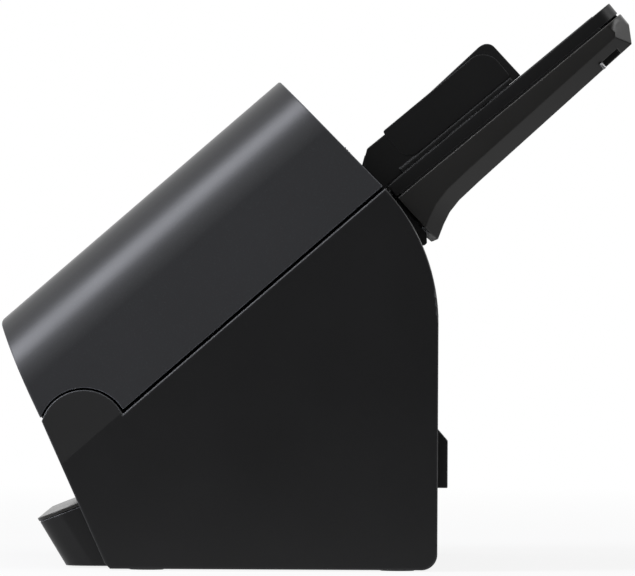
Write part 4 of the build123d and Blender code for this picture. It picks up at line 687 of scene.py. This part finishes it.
def tyre_sets():
    """The tyres of the three driven shafts."""
    for shaft, middle, radius, steps in (
        ("feed", (-13.0, 128.0, -12.15), 12.0, (26.0,)),
        ("drive", (-90.0, 100.0, -10.15), 10.0, (50.0, 130.0)),
        ("eject", (-90.0, 24.0, -10.15), 10.0, (50.0, 130.0)),
    ):
        tyres = grooved_tyre(f"grooved_{shaft}_tyres", middle, radius)
        for step in steps:
            in_a_row(tyres, 2, (step, 0.0, 0.0))
        fitted(tyres, "path", f"{shaft}_roller", "tyre_rubber", stands_for=(f"{shaft}_tyres",))


# Operation panel and release lever

PANEL_TOP = 60.0
BUTTON_ALONG = 118.0
CAP_DEPTH = 4.0
STEM_RADIUS = 2.0
STEM_LENGTH = 4.5
START_ACROSS = 88.0
STOP_ACROSS = 66.0
POWER_ACROSS = 49.0
LAMP_ALONG = 127.5


def push_button(name, across, radius, slot):
    """A button with a raised rim, a dished face and its stem to the switch."""
    middle = (across, BUTTON_ALONG, PANEL_TOP - CAP_DEPTH / 2)
    cap = turned_disc(f"{name}_cap", middle, radius, CAP_DEPTH)
    stepped(cap, faces_up, (0.9, 0.0), (0.5, -0.35), (radius * 0.35, -0.1))
    stepped(cap, faces_down, (radius - STEM_RADIUS, 0.0), (0.0, STEM_LENGTH))
    eased(cap, 0.25)
    fitted(cap, "path", name, slot, stands_for=(name,))


def panel_details():
    """The three buttons, the pilot lamp by the power button and the ring round the start button."""
    push_button("start_button", START_ACROSS, 9.0, "button_blue")
    push_button("stop_button", STOP_ACROSS, 5.0, "button_plastic")
    push_button("power_button", POWER_ACROSS, 5.0, "button_plastic")
    lamp = turned_disc("pilot_lamp", (POWER_ACROSS, LAMP_ALONG, PANEL_TOP), 1.1, 0.4, sides=32)
    stepped(lamp, faces_up, (0.3, 0.12))
    fitted(lamp, "path", "cover", "window", finish=PILOT_GREEN)
    middle = (START_ACROSS, BUTTON_ALONG, PANEL_TOP - 0.01)
    ring = turned_disc("start_ring", middle, 10.6, 0.34, sides=80)
    pick_faces(ring, lambda face: faces_up(face) or faces_down(face))
    bpy.ops.mesh.inset(thickness=0.0011, depth=0.0)
    bpy.ops.mesh.delete(type="FACE")
    bpy.ops.mesh.select_all(action="DESELECT")
    bpy.ops.mesh.select_mode(type="EDGE")
    bpy.ops.mesh.select_non_manifold()
    bpy.ops.mesh.bridge_edge_loops()
    turned_outwards()
    fitted(eased(ring, 0.12), "path", "cover", "button_plastic")


def lever_grips():
    """Three ribs for the finger on the release lever's end."""
    rib = eased_block("release_lever_ribs", (49.5, 70.5), (155.0, 155.75), (19.8, 20.4), 0.12)
    fitted(in_a_row(rib, 3, (0.0, 0.0, 1.3)), "path", "latch", "cover_plastic")


# Feed tray fittings

GUIDES = ("right_document_guide", "left_document_guide")
FACE_FRONT = 12.4
FACE_BACK = 66.6
FACE_LOW = 2.6
FACE_HIGH = 18.4
STAGE_GRIP_ALONG = (113.8, 114.6)
STAGE_GRIP_HEIGHT = 0.8


def guide_faces():
    """The outer panel on each document guide."""
    right = cut_block(
        "right_guide_face", (111.3, 111.85), (FACE_FRONT, FACE_BACK), (FACE_LOW, FACE_HIGH)
    )
    for along, up, radius in (
        (FACE_FRONT, FACE_LOW, 6.0), (FACE_BACK, FACE_HIGH, 8.0),
        (FACE_FRONT, FACE_HIGH, 1.0), (FACE_BACK, FACE_LOW, 1.0),
    ):
        round_corner(right, along, up, radius)
    eased(right, 0.18)
    fitted_pair(right, "left_guide_face", "tray", GUIDES, "tray_plastic")


def stage_grip(name, across, low):
    """Four ribs for the finger on an extension stage's end."""
    up = (low, low + STAGE_GRIP_HEIGHT)
    rib = eased_block(name, across, STAGE_GRIP_ALONG, up, 0.2)
    return in_a_row(rib, 4, (0.0, 0.0, 1.35))


def tray_fittings():
    """The stages' finger ribs, the shell's pins beside the grips and the clips at the brackets."""
    stages = ("extension_lower_stage", "extension_lower_stage")
    lower = stage_grip("lower_stage_grip", (64.0, 92.0), -12.4)
    fitted_pair(lower, "left_stage_grip", "tray", stages, "tray_plastic")
    upper = stage_grip("upper_stage_grip", (-26.0, 26.0), -15.9)
    fitted(upper, "tray", "extension_upper_stage", "tray_plastic")
    pin = turned_disc("right_tray_pin", (111.0, 98.0, -17.9), 0.9, 2.6, sides=32)
    stepped(pin, faces_down, (0.4, 0.2))
    eased(pin, 0.15)
    fitted_pair(pin, "left_tray_pin", "tray", ("base", "base"), "steel")
    clip = eased_block("clip", (99.0, 105.5), (42.6, 45.4), (136.2, 138.9), 0.3)
    rib = eased_block("clip_rib", (98.8, 105.7), (42.9, 43.4), (136.0, 139.2), 0.15)
    right = joined("right_tray_clip", clip, in_a_row(rib, 3, (0.0, 0.95, 0.0)))
    fitted_pair(right, "left_tray_clip", "table", ("base", "base"), "grey_plastic")


# Screws and underside

SCREW_RADIUS = 3.2
SCREW_HEAD = 1.4
SHANK_RADIUS = 1.5
SHANK_LENGTH = 5.6
RECESS_HALF_LENGTH = 1.7
RECESS_HALF_WIDTH = 0.45
REAR_FACE = 48.95
BORDER_ACROSS = (-112.0, 112.0)
STIFFENER_ACROSS = (-92.0, 92.0)
PLATE_RIB_UP = (0.2, 0.8)


def cross_screw(name):
    """A screw with a cross recess, standing at the origin with its head up."""
    screw = turned_disc(name, (0.0, 0.0, -SCREW_HEAD / 2), SCREW_RADIUS, SCREW_HEAD, sides=48)
    stepped(screw, faces_down, (SCREW_RADIUS - SHANK_RADIUS, 0.0), (0.0, SHANK_LENGTH))
    eased(screw, 0.25)
    for across, along in (
        (RECESS_HALF_WIDTH, RECESS_HALF_LENGTH), (RECESS_HALF_LENGTH, RECESS_HALF_WIDTH)
    ):
        cutter = cut_block("cutter", (-across, across), (-along, along), (-0.9, 1.0))
        modified(screw, "BOOLEAN", operation="DIFFERENCE", object=cutter, solver="EXACT")
        bpy.data.objects.remove(cutter)
    return screw


def driven_screws(name, pattern, turn, places, stands_for=()):
    """A set of screws turned the same way, each at its place."""
    driven = []
    for place in places:
        screw = placed("screw", pattern.data.copy())
        screw.rotation_euler = (math.radians(turn), 0.0, 0.0)
        screw.location = Vector(place) * MM
        settle()
        driven.append(screw)
    fitted(
        joined(name, *driven), "table", "base", "steel", stands_for=stands_for,
        finish=BLACKENED_STEEL,
    )


def screws():
    """The four screws in the back and six in the bottom plate."""
    pattern = cross_screw("screw_pattern")
    back = [(across, REAR_FACE, up) for across in (-108.0, 108.0) for up in (64.0, 94.0)]
    driven_screws("cross_head_rear_screws", pattern, -90.0, back, stands_for=("rear_screws",))
    under = [(across, along, 0.3) for across in (-104.0, 0.0, 104.0) for along in (-66.0, 18.0)]
    driven_screws("bottom_screws", pattern, 180.0, under)
    bpy.data.objects.remove(pattern)


def underside():
    """The raised border and the two stiffening ribs pressed into the bottom plate."""
    bars = [
        eased_block("bar", across, along, PLATE_RIB_UP, 0.2)
        for across, along in (
            (BORDER_ACROSS, (-74.0, -71.5)), (BORDER_ACROSS, (23.5, 26.0)),
            ((-112.0, -109.5), (-71.6, 23.6)), ((109.5, 112.0), (-71.6, 23.6)),
            (STIFFENER_ACROSS, (-45.0, -42.0)), (STIFFENER_ACROSS, (-6.0, -3.0)),
        )
    ]
    fitted(joined("bottom_plate_ribs", *bars), "table", "base", "base_plastic")


light_seals()
tray_shadow_gap()
feed_mouth_lip()
paper_ribs()
tyre_sets()
panel_details()
lever_grips()
guide_faces()
tray_fittings()
screws()
underside()
for name in (
    "cover_shell", "base_rear_cover", "feed_tray_shell", "feed_tray_plate", "eject_tray_pan",
    "eject_tray_top", "connector_surround", "release_lever", "operation_panel", "tray_brackets",
    "extension_lower_stage", "extension_upper_stage", "rubber_feet", "separation_holder",
):
    moulded(name)
for name in ("base_right_cover", "base_left_cover"):
    moulded(name, 0.2, angle=55.0)
for name in GUIDES:
    moulded(name, corners=((69.0, 18.8, 2.8),))


# Room, light and camera

MIDDLE_UP = 0.12
UP_FROM_THE_PATH = (0.0, -0.655, 0.755)


def seen_rays(tree, rays, reflected):
    """One where the eye looks, also through glass, and a given value in reflections."""
    seen = maths(tree, "MAXIMUM", rays.outputs["Is Camera Ray"], reflected)
    return maths(tree, "MAXIMUM", seen, rays.outputs["Is Transmission Ray"])


def mixed_shaders(tree, factor, first, second, output):
    """Two shaders mixed by a mask, sent to the tree's output."""
    mix = tree.nodes.new("ShaderNodeMixShader")
    tree.links.new(factor, mix.inputs["Fac"])
    tree.links.new(first, mix.inputs[1])
    tree.links.new(second, mix.inputs[2])
    tree.links.new(mix.outputs["Shader"], tree.nodes[output].inputs["Surface"])


def pale_floor():
    """The pale ground: near white to the eye, with the shadow, and dim far off in reflections."""
    bpy.ops.mesh.primitive_plane_add(size=14.0, location=(0.0, 0.0, 0.0))
    floor = bpy.context.object
    floor.name = "floor"
    bpy.ops.object.mode_set(mode="EDIT")
    bpy.ops.mesh.subdivide(number_cuts=3)
    bpy.ops.object.mode_set(mode="OBJECT")
    material, tree, shader, place = new_material("pale_ground")
    shader.inputs["Base Color"].default_value = (0.9, 0.9, 0.9, 1.0)
    shader.inputs["Roughness"].default_value = 0.9
    away = tree.nodes.new("ShaderNodeVectorMath")
    away.operation = "LENGTH"
    tree.links.new(place.outputs["Object"], away.inputs[0])
    distance = away.outputs["Value"]
    rays = tree.nodes.new("ShaderNodeLightPath")
    reflected = maths(tree, "MULTIPLY", rays.outputs["Is Glossy Ray"], 0.95)
    fade = ranged(tree, distance, low=0.86, high=1.0, start=0.25, end=1.6)
    factor = maths(tree, "MULTIPLY", seen_rays(tree, rays, reflected), fade)
    dimmed = ranged(tree, distance, low=0.55, high=0.06, start=0.25, end=0.6)
    glow = tree.nodes.new("ShaderNodeEmission")
    glow.inputs["Color"].default_value = (1.0, 1.0, 1.0, 1.0)
    level = maths(tree, "MAXIMUM", dimmed, rays.outputs["Is Camera Ray"])
    tree.links.new(level, glow.inputs["Strength"])
    mixed_shaders(
        tree, factor, shader.outputs["BSDF"], glow.outputs["Emission"], "Material Output"
    )
    floor.data.materials.append(material)


def pale_world():
    """A soft even light, seen as white; reflections on the camera's side turn dark low down."""
    world = bpy.data.worlds.new("pale_room")
    world.use_nodes = True
    bpy.context.scene.world = world
    tree = world.node_tree
    light = tree.nodes["Background"]
    light.inputs["Color"].default_value = (0.97, 0.98, 1.0, 1.0)
    light.inputs["Strength"].default_value = 0.42
    direction = tree.nodes.new("ShaderNodeTexCoord").outputs["Generated"]
    split = tree.nodes.new("ShaderNodeSeparateXYZ")
    tree.links.new(direction, split.inputs["Vector"])
    above = tree.nodes.new("ShaderNodeVectorMath")
    above.operation = "DOT_PRODUCT"
    above.inputs[1].default_value = UP_FROM_THE_PATH
    tree.links.new(direction, above.inputs[0])
    near_side = ranged(
        tree, above.outputs["Value"], low=0.02, high=0.85, start=0.0, end=0.24, smooth=True
    )
    surround = ranged(
        tree, split.outputs["X"], low=1.0, high=near_side, start=-0.1, end=0.75, smooth=True
    )
    backdrop = tree.nodes.new("ShaderNodeBackground")
    tree.links.new(surround, backdrop.inputs["Color"])
    rays = tree.nodes.new("ShaderNodeLightPath")
    mixed_shaders(
        tree, seen_rays(tree, rays, rays.outputs["Is Glossy Ray"]),
        light.outputs["Background"], backdrop.outputs["Background"], "World Output",
    )


def soft_lamp(name, direction, distance, size, power, colour=(1.0, 1.0, 1.0)):
    """A rectangular studio lamp that shines at the object from a direction."""
    data = bpy.data.lights.new(name, "AREA")
    data.shape = "RECTANGLE"
    data.size, data.size_y = size
    data.energy = power
    data.color = colour
    lamp = bpy.data.objects.new(name, data)
    bpy.context.scene.collection.objects.link(lamp)
    towards = Vector(direction).normalized()
    lamp.location = Vector((0.0, 0.0, MIDDLE_UP)) + towards * distance
    lamp.rotation_euler = towards.to_track_quat("Z", "Y").to_euler()


def side_camera():
    """The camera level with the object's middle, far out on its right."""
    data = bpy.data.cameras.new("side_camera")
    data.sensor_width = 36.0
    data.lens = 572.4
    camera = bpy.data.objects.new("side_camera", data)
    bpy.context.scene.collection.objects.link(camera)
    camera.location = (4.2, 0.00025, 0.1137)
    camera.rotation_euler = (math.radians(90.0), math.radians(-0.3), math.radians(90.0))
    bpy.context.scene.camera = camera


pale_floor()
pale_world()
soft_lamp("shoulder_light", (0.5, -0.7, 0.53), 1.25, (0.45, 0.9), 12.5, (0.9, 0.915, 1.0))
soft_lamp("rear_light", (0.25, 0.85, 0.45), 1.5, (0.6, 0.8), 4.0)
side_camera()
bpy.context.scene.view_settings.view_transform = "Standard"
